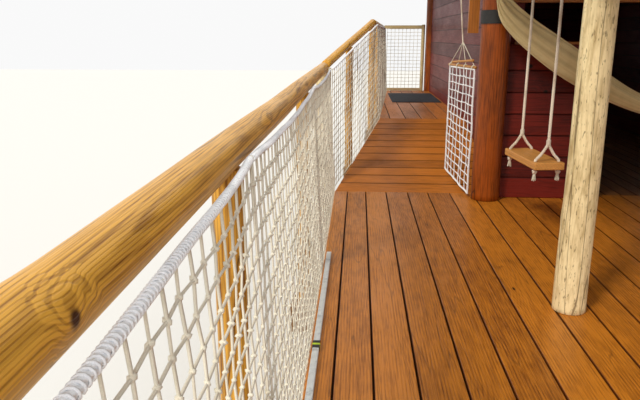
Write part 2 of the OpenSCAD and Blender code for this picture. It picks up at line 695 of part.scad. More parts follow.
// Along the span from 0 at the gathered end to 1 in the middle: fall, height and fullness
hammock_line = [
    [0.000, 0.00, 70, 50], [0.022, 0.135, 240, 84], [0.080, 0.264, 282, 100], [0.182, 0.405, 318, 120],
    [0.298, 0.535, 344, 135], [0.400, 0.64, 330, 145], [0.562, 0.805, 238, 150], [0.718, 0.92, 180, 160],
    [1.00, 1.00, 172, 170]];
end_gap = 60;
end_front = dark_y - dark_post_d / 2 - end_gap;
function hammock_z(f) = D + mix(hammock_end, hammock_low + 85, f);
module hammock_slice(k) translate([hammock_x + hammock_line[k][0] * half_span,
        mix(end_front, hammock_y, min(1, 3 * hammock_line[k][0])), hammock_z(hammock_line[k][1])])
    scale([0.03, hammock_line[k][3] / 200, hammock_line[k][2] / 200]) sphere(r = 100, $fn = 16);
module hammock() color("#c9b98f") centred() both_sides()
    for (k = [0:len(hammock_line) - 2]) hull() {
        hammock_slice(k);
        hammock_slice(k + 1);
    }
ring_r = 11.5;
ring_rise = 40;
cord_gap = 0.9;
module hammock_cords() color("#d8ccb0") centred() both_sides() {
    translate([dark_x, dark_y, D + hammock_end + ring_rise]) rotate_extrude()
        translate([dark_post_d / 2 + ring_r + 0.5, 0]) circle(r = ring_r);
    end_y = end_front + hammock_line[0][3] / 2 + cord_gap;
    difference() {
        rod([hammock_x, dark_y - sqrt(pow(dark_post_d / 2 + ring_r, 2) - pow(hammock_out, 2)),
            D + hammock_end + ring_rise], [hammock_x, end_y - 7, D + hammock_end - 7], ring_r - 1.5);
        box([hammock_x - 50, end_y - 100, D + hammock_end - 100], [100, 100, 200]);
    }
}
strap_t = 5;
strap_low = 1610;
strap_z = D + strap_low;
strap_h = 115;
module post_straps() color("#15130f") centred() both_sides() difference() {
    post(dark_x, dark_y, strap_z, strap_z + strap_h, dark_post_d + 2 * strap_t);
    post(dark_x, dark_y, strap_z - 10, strap_z + strap_h + 10, dark_post_d);
    box([wall_left - front_lap, wall_front, D], [1000, wall_t, 3000]);
}
// Boards hung on the outside of the eaves beams, just behind the dark posts
board_w = 95;
board_t = 40;
board_low = 1530;
board_back = 165;
module eaves_boards() color("#b5702e") centred() both_sides()
    box([post_x - beam_w / 2 - board_w, dark_y + board_back, D + board_low],
        [board_w, board_t, eaves_h + beam_h - 30 - board_low]);

// Hanging side net
side_a = [dark_x - 158, dark_y + 60];
side_b = [dark_x - 290, dark_y + 710];
side_net_h = 1225;
side_top = D + side_net_h;
stick_r = 14;
module side_net() color("#ece8dc") centred() patch_net(
    [side_a[0], side_a[1], D + 35], [side_b[0], side_b[1], D + 150],
    [side_a[0], side_a[1], side_top - stick_r - net_cord / 2],
    [side_b[0], side_b[1], side_top - stick_r - net_cord / 2], 6, 12, false);
apex_x = dark_x - 230;
hook_x = dark_x - 315;
side_apex = [apex_x, anchor_y, side_top + 227];
stick_dir = (side_b - side_a) / norm(side_b - side_a);
stick_out = 32 * stick_dir;
module side_net_sticks() color("#d3ad70") centred() rod(
    [side_a[0] - stick_out[0], side_a[1] - stick_out[1], side_top],
    [side_b[0] + stick_out[0], side_b[1] + stick_out[1], side_top], stick_r);
module side_net_cords() color("#cfc8b4") centred() {
    for (t = [0.04, 0.35, 0.65, 0.96]) {
        c = mix(side_a, side_b, t);
        p = [c[0], c[1], side_top];
        dir = [stick_dir[0], stick_dir[1], 0];
        difference() {
            union() {
                rod(p - 7 * dir, p + 7 * dir, stick_r + 6, 12);
                rod(p + [0, 0, stick_r + 4], side_apex, 5, 8);
            }
            rod(p - 40 * dir, p + 40 * dir, stick_r + 0.8);
            box([p[0] - 60, p[1] - 60, side_top - 60], [120, 120, 56]);
        }
    }
    rod(side_apex, [hook_x, anchor_y, under_z(hook_x) - 4], 8, 8);
}

stilts();
stilt_braces();
bearers();
joists();
rim_boards();
ramp_boards();
terrace_deck();
cabin_floor();
ramp_deck();
landing_deck();
landing_mat();
edge_trunking();
handrail_terrace();
handrail_slope();
handrail_right();
rail_posts();
corner_post();
terrace_net();
right_net();
front_net();
ramp_net();
landing_net();
landing_end_frame();
log_post();
porch_posts();
dark_posts();
eaves_beams();
cross_beams();
swing_beam();
front_wall_left();
front_wall_right();
front_gable();
back_wall();
left_wall();
right_wall();
rafters();
ridge_beam();
roof_left();
roof_right();
swing_hangers();
swing_ropes();
swing_seat();
hammock();
hammock_cords();
post_straps();
eaves_boards();
side_net();
side_net_sticks();
side_net_cords();
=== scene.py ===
"""Boards, logs, knotted nets, swing and hammock of a tree house on log stilts.

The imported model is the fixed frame. Plan places are in millimetres, as a builder reads them off a plan, and
`at` turns them into metres in the frame's own coordinates. Sizes of boards, logs and cords are in metres.
"""

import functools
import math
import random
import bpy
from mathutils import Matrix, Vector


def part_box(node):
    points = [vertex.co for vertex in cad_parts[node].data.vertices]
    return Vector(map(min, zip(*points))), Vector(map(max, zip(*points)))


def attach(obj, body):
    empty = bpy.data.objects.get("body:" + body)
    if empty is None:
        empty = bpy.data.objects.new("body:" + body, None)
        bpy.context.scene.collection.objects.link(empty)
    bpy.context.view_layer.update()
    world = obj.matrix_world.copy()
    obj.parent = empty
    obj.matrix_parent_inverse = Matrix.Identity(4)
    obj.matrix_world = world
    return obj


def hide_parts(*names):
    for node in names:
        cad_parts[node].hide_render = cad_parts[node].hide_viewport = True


bl_info = {
    "name": "Tree house",
    "version": (1, 0, 0),
    "blender": (4, 5, 0),
    "location": "View3D > Sidebar > Tree house",
    "description": "Boards, logs, knotted nets, swing and hammock of a raised timber tree house",
    "category": "Add Mesh",
}

import types

import bmesh
import bpy
from bpy.props import FloatProperty, FloatVectorProperty, IntProperty, PointerProperty
from mathutils import Matrix, Vector, noise

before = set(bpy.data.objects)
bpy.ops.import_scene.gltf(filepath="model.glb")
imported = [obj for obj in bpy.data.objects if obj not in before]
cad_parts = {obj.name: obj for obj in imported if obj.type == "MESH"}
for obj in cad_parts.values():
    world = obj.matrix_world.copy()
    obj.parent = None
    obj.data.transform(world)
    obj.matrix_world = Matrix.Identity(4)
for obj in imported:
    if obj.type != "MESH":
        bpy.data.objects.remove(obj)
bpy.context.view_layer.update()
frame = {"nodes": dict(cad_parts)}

# Places on the plan, in millimetres
DECK, LANDING = 2400.0, 2862.0
DECK_LEFT, DECK_RIGHT, DECK_FRONT = -220.0, 4950.0, -750.0
RAMP_START, RAMP_MID, RAMP_END = 6110.0, 7187.5, 8265.0
RAMP_RISE = (LANDING - DECK) / (RAMP_END - RAMP_START)
EDGE_RAMP_END, EDGE_BACK = 282.0, 570.0
WALL_LEFT, WALL_RIGHT, WALL_BACK = 1380.0, 4540.0, 12750.0
RIDGE_X = 2960.0
RAIL_OUT, RAIL_Z, RAIL_END_Z = 120.0, 3609.0, LANDING + 1209.0
RAIL_LEFT, RAIL_RIGHT, RAIL_FRONT = DECK_LEFT - RAIL_OUT, DECK_RIGHT + RAIL_OUT, DECK_FRONT - RAIL_OUT
ROWS = (-640.0, 1589.84, 3874.4, 6200.0)
LAND_ROWS = (8350.0, 9766.67, 11183.33, 12600.0)
FRONT_BAY = 1260.0
DECK_SEAMS, DECK_BOARD, CABIN_BOARD = (-94.0, 87.0, 288.0, 500.0, 698.0, 912.0, 1132.0), 204.0, 150.0
POST_TOP = 4700


def at(x, y, z):
    """A plan place in millimetres as metres in the model's frame."""
    return Vector(((x - 2380.0) / 1000.0, (y - 6025.0) / 1000.0, z / 1000.0))


def mix(a, b, t):
    return a + (b - a) * t


def edge_x(y):
    """Left edge of the terrace, ramp and landing at a plan place."""
    if y <= RAMP_START:
        return DECK_LEFT
    if y <= RAMP_END:
        return mix(DECK_LEFT, EDGE_RAMP_END, (y - RAMP_START) / (RAMP_END - RAMP_START))
    return mix(EDGE_RAMP_END, EDGE_BACK, (y - RAMP_END) / (WALL_BACK - RAMP_END))


def floor_z(y):
    """Top of the boards along the open strip, ramp and landing."""
    return mix(DECK, LANDING, min(1.0, max(0.0, (y - RAMP_START) / (RAMP_END - RAMP_START))))


def rail_point(y, drop=0.0):
    """Centre of the ramp and landing handrail at a plan place, or a drop below it."""
    x, z = edge_x(y) - RAIL_OUT, RAIL_END_Z
    if y < LAND_ROWS[0]:
        t = (y - ROWS[3]) / (LAND_ROWS[0] - ROWS[3])
        x, z = mix(RAIL_LEFT, edge_x(LAND_ROWS[0]) - RAIL_OUT, t), mix(RAIL_Z + 10.0, RAIL_END_Z, t)
    return at(x, y, z - drop)


def anywhere(chance, reach):
    """A random place as far as a reach from the origin on each axis."""
    return Vector([chance.uniform(-reach, reach) for _ in range(3)])


def linear(colour):
    """A display colour as the linear values that shaders take."""
    return tuple(c / 12.92 if c <= 0.04045 else ((c + 0.055) / 1.055) ** 2.4 for c in colour[:3])


def rgb(text):
    """A display colour from its six hexadecimal digits."""
    return tuple(int(text[i : i + 2], 16) / 255.0 for i in (0, 2, 4))


# Sizes and colours


def shade(text, name, description):
    return FloatVectorProperty(
        name=name, description=description, subtype="COLOR_GAMMA", size=3, min=0, max=1, default=rgb(text)
    )


def length(value, name, description, low, high):
    return FloatProperty(
        name=name, description=description, default=value, min=low, max=high,
        subtype="DISTANCE", unit="LENGTH", precision=4,
    )


class HouseSizes(bpy.types.PropertyGroup):
    """Sizes of what is laid on the plain timber frame"""

    board_gap: length(0.008, "Board gap", "Open joint between two floor boards", 0.001, 0.02)
    board_edge: length(0.004, "Board edge", "Rounding of a floor board's edges", 0.001, 0.01)
    ramp_board: length(0.197, "Ramp board", "Width of a cross board on the ramp", 0.1, 0.3)
    course: length(0.2, "Wall course", "Height of one siding board", 0.1, 0.3)
    mesh_along: length(0.077, "Net square along", "Width of one net square", 0.04, 0.1)
    mesh_up: length(0.066, "Net square up", "Height of one net square", 0.04, 0.1)
    cord: length(0.0036, "Net cord radius", "Radius of the knotted cord", 0.001, 0.006)
    knot: length(0.0082, "Net knot radius", "Radius of a knot", 0.002, 0.015)
    rope: length(0.0095, "Top rope radius", "Radius of the rope along the net's top", 0.005, 0.02)
    lashing: length(0.0125, "Lashing pitch", "Distance between two turns of the lashing", 0.01, 0.08)
    shingle: length(0.17, "Shingle course", "Exposed length of one roof shingle", 0.1, 0.3)
    seed: IntProperty(name="Seed", description="Seed of every random choice", default=7, min=0)


class HouseColours(bpy.types.PropertyGroup):
    """Colours of the house"""

    deck: shade("c57a24", "Deck", "Glossy terrace boards")
    deck_deep: shade("66340c", "Deck grain", "Grain and joints of the terrace boards")
    ramp: shade("bd7024", "Ramp", "Cross boards of the ramp")
    rail: shade("e3aa42", "Handrail", "Varnished peeled log")
    rail_deep: shade("74430d", "Handrail grain", "Darker grain of the handrail")
    pale: shade("ecd9aa", "Pale log", "Weathered log and corner post")
    dark_log: shade("994a10", "Dark post", "Red-brown varnished post")
    siding: shade("701c10", "Siding", "Dark red wall boards")
    beam: shade("ad6a2c", "Beams", "Varnished beams")
    frame: shade("8b6a48", "Framing", "Rough stilts, bearers and joists")
    roof: shade("7b6350", "Shingles", "Weathered roof shingles")
    net: shade("e3ddcb", "Net", "Off-white knotted cord")
    rope: shade("ece1cf", "Rope", "Twisted swing rope")
    cloth: shade("e4d2a0", "Hammock", "Cream canvas")
    mat: shade("23272f", "Mat", "Dark woven mat")
    pine: shade("d4964f", "Seat", "Light pine seat")


# Nodes, in shaders and in geometry trees alike


class Term:
    """A node's output that takes part in sums: every operator adds one Math node."""

    def __init__(self, nodes, socket):
        self.nodes, self.socket = nodes, socket

    def other(self, name):
        """Another output of the same node."""
        return Term(self.nodes, self.socket.node.outputs[name])

    def maths(self, operation, *terms, clamp=False):
        return self.nodes.add("ShaderNodeMath", dict(enumerate(terms)), operation=operation, use_clamp=clamp)

    def __add__(self, o):
        return self.maths("ADD", self, o)

    def __radd__(self, o):
        return self.maths("ADD", o, self)

    def __sub__(self, o):
        return self.maths("SUBTRACT", self, o)

    def __rsub__(self, o):
        return self.maths("SUBTRACT", o, self)

    def __mul__(self, o):
        return self.maths("MULTIPLY", self, o)

    def __rmul__(self, o):
        return self.maths("MULTIPLY", o, self)

    def __truediv__(self, o):
        return self.maths("DIVIDE", self, o)

    def __rtruediv__(self, o):
        return self.maths("DIVIDE", o, self)

    def __abs__(self):
        return self.maths("ABSOLUTE", self)

    def sine(self):
        return self.maths("SINE", self)

    def clamped(self):
        """Held between 0 and 1."""
        return self.maths("ADD", self, 0.0, clamp=True)

    def step(self, low, high):
        """0 below low, 1 above high and smooth between; turned round where low is above high."""
        ends = {"Value": self, "From Min": min(low, high), "From Max": max(low, high)}
        rise = self.nodes.add("ShaderNodeMapRange", ends, interpolation_type="SMOOTHSTEP")
        return 1.0 - rise if low > high else rise


class Nodes:
    """A node tree with one way to add a node."""

    def __init__(self, tree):
        self.tree = tree

    def add(self, kind, inputs=None, out=0, **settings):
        """A node of a kind, its settings first and then the values or links of its sockets."""
        node = self.tree.nodes.new(kind)
        for key, value in settings.items():
            setattr(node, key, value)
        for key, value in (inputs or {}).items():
            if isinstance(value, Term):
                self.tree.links.new(value.socket, node.inputs[key])
            else:
                node.inputs[key].default_value = value
        return Term(self, node.outputs[out]) if node.outputs else None

    def vector(self, x, y, z):
        return self.add("ShaderNodeCombineXYZ", {0: x, 1: y, 2: z})

    def split(self, vector):
        """The three numbers of a vector."""
        x = self.add("ShaderNodeSeparateXYZ", {0: vector})
        return x, x.other("Y"), x.other("Z")


# Axes of a piece in the order of its grain: two across it and the one along it
GRAIN = {"X": (1, 2, 0), "Y": (0, 2, 1), "Z": (0, 1, 2)}


class Finish(Nodes):
    """A material under construction, with the values that are the same all over its surface."""

    FEEDS = {"colour": "Base Color", "rough": "Roughness", "coat": "Coat Weight", "normal": "Normal"}

    def __init__(self, name, fixed):
        self.material = bpy.data.materials.new(name)
        self.material.use_nodes = True
        super().__init__(self.material.node_tree)
        self.tree.nodes.clear()
        surface = self.add("ShaderNodeBsdfPrincipled", fixed)
        self.add("ShaderNodeOutputMaterial", {0: surface})
        self.sockets = surface.socket.node.inputs

    def feed(self, **terms):
        for key, term in terms.items():
            self.tree.links.new(term.socket, self.sockets[self.FEEDS[key]])

    def bump(self, height, strength, distance):
        return self.add("ShaderNodeBump", {"Strength": strength, "Distance": distance, "Height": height})

    def blend(self, factor, a, b):
        a, b = [v if isinstance(v, Term) else (*v, 1.0) for v in (a, b)]
        return self.add("ShaderNodeMix", {0: factor, 6: a, 7: b}, out=2, data_type="RGBA")

    def position(self):
        return self.add("ShaderNodeTexCoord", out="Object")

    def grain(self, along):
        """Three Terms in metres, two across the grain and one along it, of the piece's own wood or an axis."""
        if along == "piece":
            return self.split(self.add("ShaderNodeAttribute", out="Vector", attribute_name="grain"))
        parts = self.split(self.position())
        return [parts[k] for k in GRAIN[along]]

    def noise(self, vector, scale=1.0, detail=2.0, roughness=0.5):
        inputs = {"Vector": vector, "Scale": scale, "Detail": detail, "Roughness": roughness}
        return self.add("ShaderNodeTexNoise", inputs)

    def spots(self, places, uneven, inner=0.35):
        """1 at each of a few places of the piece, 0 away from them, with an uneven outline."""
        total, where = 0.0, self.position()
        wobble = (self.noise(where, 24.0) - 0.5) * uneven + 1.0
        for x, y, z, radius in places:
            ends = {0: where, 1: tuple(at(x, y, z))}
            gap = self.add("ShaderNodeVectorMath", ends, out="Value", operation="DISTANCE")
            total = (gap * wobble).step(radius, radius * inner) + total
        return total


class Growth(Nodes):
    """A geometry tree with named inputs."""

    def __init__(self, name, inputs):
        super().__init__(bpy.data.node_groups.new(name, "GeometryNodeTree"))
        for key, kind in {"Geometry": "Geometry", **inputs, "Finish": "Material"}.items():
            self.tree.interface.new_socket(key, in_out="INPUT", socket_type="NodeSocket" + kind)
        self.tree.interface.new_socket("Geometry", in_out="OUTPUT", socket_type="NodeSocketGeometry")
        self.entry = self.add("NodeGroupInput")

    def read(self, key):
        return self.entry.other(key)

    def sweep(self, path, radius):
        """A closed tube along a path."""
        ends = {"Resolution": self.read("Sides"), "Radius": self.read(radius)}
        ring = self.add("GeometryNodeCurvePrimitiveCircle", ends, mode="RADIUS")
        return self.add("GeometryNodeCurveToMesh", {"Curve": path, "Profile Curve": ring, "Fill Caps": True})

    def join(self, *parts):
        both = self.add("GeometryNodeJoinGeometry")
        for part in parts:
            self.tree.links.new(part.socket, both.socket.node.inputs[0])
        return both

    def close(self, geometry, smooth=True):
        """Realizes what was made, smooths it and gives it its finish."""
        real = self.add("GeometryNodeRealizeInstances", {0: geometry})
        if smooth:
            real = self.add("GeometryNodeSetShadeSmooth", {"Geometry": real})
        done = self.add("GeometryNodeSetMaterial", {"Geometry": real, "Material": self.read("Finish")})
        self.add("NodeGroupOutput", {0: done})
        return self.tree


@functools.cache
def knotted_tree():
    """Makes every join of the lines a cord, and every point a knot where knots have a radius."""
    g = Growth("Knotted cords", {
        "Cord radius": "Float", "Knot radius": "Float", "Sides": "Int", "Seed": "Int",
    })
    cords = g.sweep(g.add("GeometryNodeMeshToCurve", {"Mesh": g.read("Geometry")}), "Cord radius")
    radius = g.read("Knot radius")
    points = g.add("GeometryNodeMeshToPoints", {
        "Mesh": g.read("Geometry"), "Selection": radius.maths("GREATER_THAN", radius, 0.0),
    })
    lump = g.add("GeometryNodeMeshIcoSphere", {"Radius": 1.0, "Subdivisions": 1})
    turn = g.add(
        "FunctionNodeRandomValue", {"Min": (0.0, 0.0, 0.0), "Max": (6.28, 6.28, 6.28), "Seed": g.read("Seed")},
        data_type="FLOAT_VECTOR",
    )
    knots = g.add("GeometryNodeInstanceOnPoints", {
        "Points": points, "Instance": lump, "Rotation": turn,
        "Scale": g.vector(radius * 0.82, radius * 0.82, radius * 1.25),
    })
    return g.close(g.join(cords, knots))


@functools.cache
def strand_tree():
    """Lays a number of strands round the lines, as a twisted rope or a lashing."""
    g = Growth("Laid strands", {
        "Pitch": "Float", "Lay radius": "Float", "Strand radius": "Float", "Strands": "Int", "Sides": "Int",
        "Step": "Float",
    })
    path = g.add("GeometryNodeMeshToCurve", {"Mesh": g.read("Geometry")})
    even = g.add("GeometryNodeResampleCurve", {"Curve": path, "Length": g.read("Step")}, mode="LENGTH")
    copies = g.add(
        "GeometryNodeDuplicateElements", {"Geometry": even, "Amount": g.read("Strands")}, domain="SPLINE"
    )
    travel = g.add("GeometryNodeSplineParameter", out="Length")
    turns = copies.other("Duplicate Index") / g.read("Strands") + travel / g.read("Pitch")
    arm = g.add(
        "ShaderNodeVectorMath", {0: g.add("GeometryNodeInputNormal"), "Scale": g.read("Lay radius")},
        operation="SCALE",
    )
    offset = g.add(
        "ShaderNodeVectorRotate",
        {"Vector": arm, "Axis": g.add("GeometryNodeInputTangent"), "Angle": turns * math.tau},
        rotation_type="AXIS_ANGLE",
    )
    laid_out = g.add("GeometryNodeSetPosition", {"Geometry": copies, "Offset": offset})
    return g.close(g.sweep(laid_out, "Strand radius"))


@functools.cache
def shingle_tree():
    """Sets a shingle on every point of a roof slope, each with its own width and tone."""
    g = Growth("Shingles", {
        "Width": "Float", "Length": "Float", "Thickness": "Float", "Slope": "Float", "Lift": "Float",
        "Seed": "Int",
    })
    block = g.add("GeometryNodeMeshCube", {"Size": (1.0, 1.0, 1.0)})
    chance = g.add(
        "FunctionNodeRandomValue", {2: 0.0, 3: 1.0, "Seed": g.read("Seed")}, out=1, data_type="FLOAT"
    )
    placed = g.add("GeometryNodeInstanceOnPoints", {
        "Points": g.read("Geometry"), "Instance": block,
        "Rotation": g.vector(0.0, 0.0 - g.read("Slope") - g.read("Lift"), 0.0),
        "Scale": g.vector(g.read("Length"), g.read("Width") * (0.86 + chance * 0.12), g.read("Thickness")),
    })
    toned = g.add(
        "GeometryNodeStoreNamedAttribute", {"Geometry": placed, "Name": "tone", "Value": chance},
        data_type="FLOAT", domain="INSTANCE",
    )
    return g.close(toned, smooth=False)


# Pieces


def piece(name, mesh, finish, slot, *stands_for, body="house"):
    """Puts a mesh in the scene as one piece that rides on a body."""
    if finish is not None:
        mesh.materials.clear()
        mesh.materials.append(finish)
    obj = bpy.data.objects.new(name, mesh)
    bpy.context.scene.collection.objects.link(obj)
    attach(obj, body)
    if stands_for:
        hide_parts(*stands_for)
    return obj


def dress(finish, *nodes):
    """Gives carried-over nodes their finish."""
    for node in nodes:
        mesh = frame["nodes"][node].data
        mesh.materials.clear()
        mesh.materials.append(finish)


def grown(name, tree, points, joins, values, slot, *stands_for, body="house"):
    """A piece that a geometry tree makes from points and their joins."""
    mesh = bpy.data.meshes.new(name)
    mesh.from_pydata(points, joins, [])
    base = bpy.data.objects.new(name + "_base", mesh)
    bpy.context.scene.collection.objects.link(base)
    modifier = base.modifiers.new("Grow", "NODES")
    modifier.node_group = tree
    for item in tree.interface.items_tree:
        if item.in_out == "INPUT" and item.name in values:
            modifier[item.identifier] = values[item.name]
    graph = bpy.context.evaluated_depsgraph_get()
    made = bpy.data.meshes.new_from_object(base.evaluated_get(graph), depsgraph=graph)
    bpy.data.objects.remove(base)
    made.name = name
    return piece(name, made, None, slot, *stands_for, body=body)


class Lines:
    """The lines that cords follow, as points and the joins between them."""

    def __init__(self, *lines):
        self.points, self.joins = [], []
        for line in lines:
            self.lay(line)

    def lay(self, line):
        """Adds one line through its points."""
        first = len(self.points)
        self.points += line
        self.joins += [(k, k + 1) for k in range(first, len(self.points) - 1)]

    def weave(self, spot, columns, rows, chance, slack):
        """Adds a net; spot gives a place from shares along and up, and inner knots move by the slack."""
        for i in range(columns + 1):
            for j in range(rows + 1):
                place, here = spot(i / columns, j / rows), len(self.points)
                if 0 < i < columns and 0 < j < rows:
                    place = place + anywhere(chance, 1) * slack
                self.points.append(place)
                if i < columns:
                    self.joins.append((here, here + rows + 1))
                if j < rows:
                    self.joins.append((here, here + 1))


def tied(name, lines, finish, cord, knot, sides, seed, *stands_for, body="house"):
    """Plain cords along lines, with a knot at every point unless the knots have no radius."""
    values = {"Cord radius": cord, "Knot radius": knot, "Sides": sides, "Seed": seed, "Finish": finish}
    grown(name, knotted_tree(), lines.points, lines.joins, values, "rope", *stands_for, body=body)


# Lays of the ropes: pitch, radius of the lay, radius of a strand, strands, sides of a strand, step along it
LAY = ("Pitch", "Lay radius", "Strand radius", "Strands", "Sides", "Step")
SWING_LAY = (0.062, 0.0052, 0.0062, 3, 7, 0.0065)
SWING_KNOT_LAY = (0.05, 0.0034, 0.0046, 3, 6, 0.004)
HAMMOCK_LAY = (0.055, 0.0046, 0.0056, 3, 6, 0.007)
HEM_LAY = (0.5, 0.0, 0.0048, 1, 8, 0.02)
NET_FOOT_LAY = (0.03, 0.0022, 0.0026, 3, 4, 0.006)
SIDE_EDGE_LAY = (0.05, 0.0046, 0.0056, 3, 6, 0.005)
BRIDLE_LAY = (0.022, 0.0018, 0.0023, 3, 5, 0.003)
HANGING_LAY = (0.05, 0.00368, 0.00432, 3, 6, 0.05 / 9)


def laid(name, lines, finish, lay, *stands_for, body="house", slot="rope"):
    """Ropes of laid strands along lines."""
    values = {**dict(zip(LAY, lay)), "Finish": finish}
    return grown(name, strand_tree(), lines.points, lines.joins, values, slot, *stands_for, body=body)


def round_edges(bm, edges, size):
    bmesh.ops.bevel(bm, geom=edges, offset=size, segments=2, profile=0.5, affect="EDGES", clamp_overlap=True)


def across(start, end):
    """Two directions across the line from start to end."""
    line = (end - start).normalized()
    side = line.cross(Vector((0.0, 0.0, 1.0)))
    if side.length < 0.1:
        side = Vector((1.0, 0.0, 0.0))
    side.normalize()
    return side, side.cross(line).normalized()


class Shape:
    """Collects the faces of a piece, with each point's place in the wood's grain and its tone."""

    def __init__(self, chance=None):
        self.chance = chance
        self.points, self.faces, self.grain, self.tone = [], [], [], []

    def add(self, points, faces, grain, tone):
        first = len(self.points)
        self.points += points
        self.faces += [[i + first for i in face] for face in faces]
        self.grain += grain
        self.tone += tone if isinstance(tone, list) else [tone] * len(points)

    def take(self, bm, along, chance, tone=None, place=Matrix()):
        """Adds and frees a bmesh, with a place of its own in the wood; place is where it goes."""
        if bm.faces:
            bm.verts.index_update()
            shift = anywhere(chance, 9)
            grain = [Vector([v.co[k] for k in GRAIN[along]]) + shift for v in bm.verts]
            faces = [[v.index for v in f.verts] for f in bm.faces]
            self.add([place @ v.co for v in bm.verts], faces, grain, chance.random() if tone is None else tone)
        bm.free()

    def plank(self, low, high, along, edge, turn=Matrix()):
        """A board between two corners with rounded edges; turn is a matrix about its middle."""
        bm = bmesh.new()
        bmesh.ops.create_cube(bm, size=1.0)
        for v in bm.verts:
            v.co *= high - low
        round_edges(bm, bm.edges[:], edge)
        self.take(bm, along, self.chance, place=Matrix.Translation((low + high) / 2) @ turn)

    def log(self, start, end, radius, rough=0.02, sides=32, pace=0.08, sway=0.0, lumps=(), taper=0.0):
        """A log from start to end. Its skin wavers inwards from the radius, and it may sway a little.

        A lump is how far along the log it is, its angle round the log and its height."""
        run = (end - start).length
        side, up = across(start, end)
        rings = max(4, int(run / pace))
        seed = anywhere(self.chance, 40)
        lip, lip_share = 0.004, 0.94
        lump_length, lump_width = 0.0025, 0.0012  # squares of how far a lump spreads
        stations = [0.0, lip, *(run * k / rings for k in range(1, rings)), run - lip, run]
        points, grain = [], []
        for s in stations:
            drift = sway * math.sin(math.pi * s / run)
            centre = start.lerp(end, s / run)
            for way, where in ((side, (s * 0.9, 0.0, 0.0)), (up, (0.0, s * 0.9, 0.0))):
                centre = centre + way * drift * noise.noise(Vector(where) + seed) * 2
            shrink = lip_share if s in (0.0, run) else 1.0
            for j in range(sides):
                a = math.tau * j / sides
                c, d = math.cos(a), math.sin(a)
                wide = noise.noise(Vector((c * 0.9, d * 0.9, s * 1.3)) + seed)
                fine = noise.noise(Vector((c * 3.2, d * 3.2, s * 4.0)) + seed)
                r = radius * shrink * (1.0 - taper * s / run) * (1.0 - rough + rough * (0.7 * wide + 0.3 * fine))
                for where, angle, height in lumps:
                    off = math.atan2(math.sin(a - angle), math.cos(a - angle)) * radius
                    r += height * math.exp(-((s - where) ** 2) / lump_length - off**2 / lump_width)
                points.append(centre + (side * c + up * d) * r)
                grain.append(Vector((c * r, d * r, s)) + seed * 0.3)
        tip, last = len(points), (len(stations) - 1) * sides
        turn = [(j, (j + 1) % sides) for j in range(sides)]
        faces = [(k + n, k + j, k + j + sides, k + n + sides) for k in range(0, last, sides) for j, n in turn]
        for j, n in turn:
            faces += [(tip, j, n), (tip + 1, last + n, last + j)]
        points += [start, end]
        grain += [seed * 0.3, seed * 0.3 + Vector((0.0, 0.0, run))]
        self.add(points, faces, grain, self.chance.random())

    def place(self, name, finish, slot, *stands_for, body="house", smooth=False):
        """Puts what was collected in the scene as one piece."""
        mesh = bpy.data.meshes.new(name)
        mesh.from_pydata(self.points, [], self.faces)
        grain = mesh.attributes.new("grain", "FLOAT_VECTOR", "POINT")
        grain.data.foreach_set("vector", [c for g in self.grain for c in g])
        mesh.attributes.new("tone", "FLOAT", "POINT").data.foreach_set("value", self.tone)
        mesh.polygons.foreach_set("use_smooth", [smooth] * len(mesh.polygons))
        mesh.validate()
        mesh.update()
        piece(name, mesh, finish, slot, *stands_for, body=body)


def raise_logs(name, finish, slot, node, chance, logs, **skin):
    """A piece of logs, each from a start to an end with its radius, that stands for a node."""
    shape = Shape(chance)
    for start, end, radius in logs:
        shape.log(start, end, radius, **skin)
    shape.place(name, finish, slot, node, smooth=True)


# Cutting a node's own solid: how far past it the outer cuts lie, the angle up to which two faces count as
# one, and the tone of a board's edge at a joint, a dark tone that paints the shade of the gap

PAST, FLAT, JOINT_SHADE = 0.05, 0.003, 3.5


def merged(node):
    """A merged copy of a node's mesh with its flat faces whole."""
    bm = bmesh.new()
    bm.from_mesh(frame["nodes"][node].data)
    bmesh.ops.remove_doubles(bm, verts=bm.verts, dist=1e-5)
    bmesh.ops.dissolve_limit(bm, angle_limit=FLAT, verts=bm.verts, edges=bm.edges)
    return bm


def stepped(low, high, pitch, first=None):
    """Joint places from low to high, a pitch apart, each end a little past the solid."""
    stops = [low - PAST]
    place = first if first is not None else low + pitch
    while place < high - 0.3 * pitch:
        stops.append(place)
        place += pitch
    return stops + [high + PAST]


def trim(bm, axis, place, side):
    """Cuts away what lies past a place on an axis, and closes the cut."""
    where, normal = Vector(), Vector()
    where[axis], normal[axis] = place, side
    found = bmesh.ops.bisect_plane(
        bm, geom=bm.verts[:] + bm.edges[:] + bm.faces[:], plane_co=where, plane_no=normal, clear_outer=True
    )
    rim = [e for e in found["geom_cut"] if isinstance(e, bmesh.types.BMEdge)]
    if rim:
        bmesh.ops.holes_fill(bm, edges=rim)


def cut_boards(shape, node, axis, along, stops, gap, edge, seed, spread=1.0):
    """Cuts a solid into boards at the stops, with rounded edges darkened at the joints as painted shade."""
    chance = random.Random(seed)
    whole = merged(node)
    for low, high in zip(stops, stops[1:]):
        sides = (low + gap / 2, high - gap / 2)
        bm = whole.copy()
        trim(bm, axis, sides[0], -1.0)
        trim(bm, axis, sides[1], 1.0)
        bmesh.ops.dissolve_limit(bm, angle_limit=FLAT, verts=bm.verts, edges=bm.edges)
        bmesh.ops.recalc_face_normals(bm, faces=bm.faces)
        sharp = [e for e in bm.edges if len(e.link_faces) == 2 and e.calc_face_angle(0.0) > 0.5]
        round_edges(bm, sharp, edge)
        tone = 0.5 + spread * chance.uniform(-0.5, 0.5)
        # A point on a board's edge at a joint takes the dark tone: painted shade of the gap
        shaded_joint = [min(abs(v.co[axis] - s) for s in sides) < 0.6 * edge for v in bm.verts]
        shape.take(bm, along, chance, [JOINT_SHADE if dark else tone for dark in shaded_joint])
    whole.free()


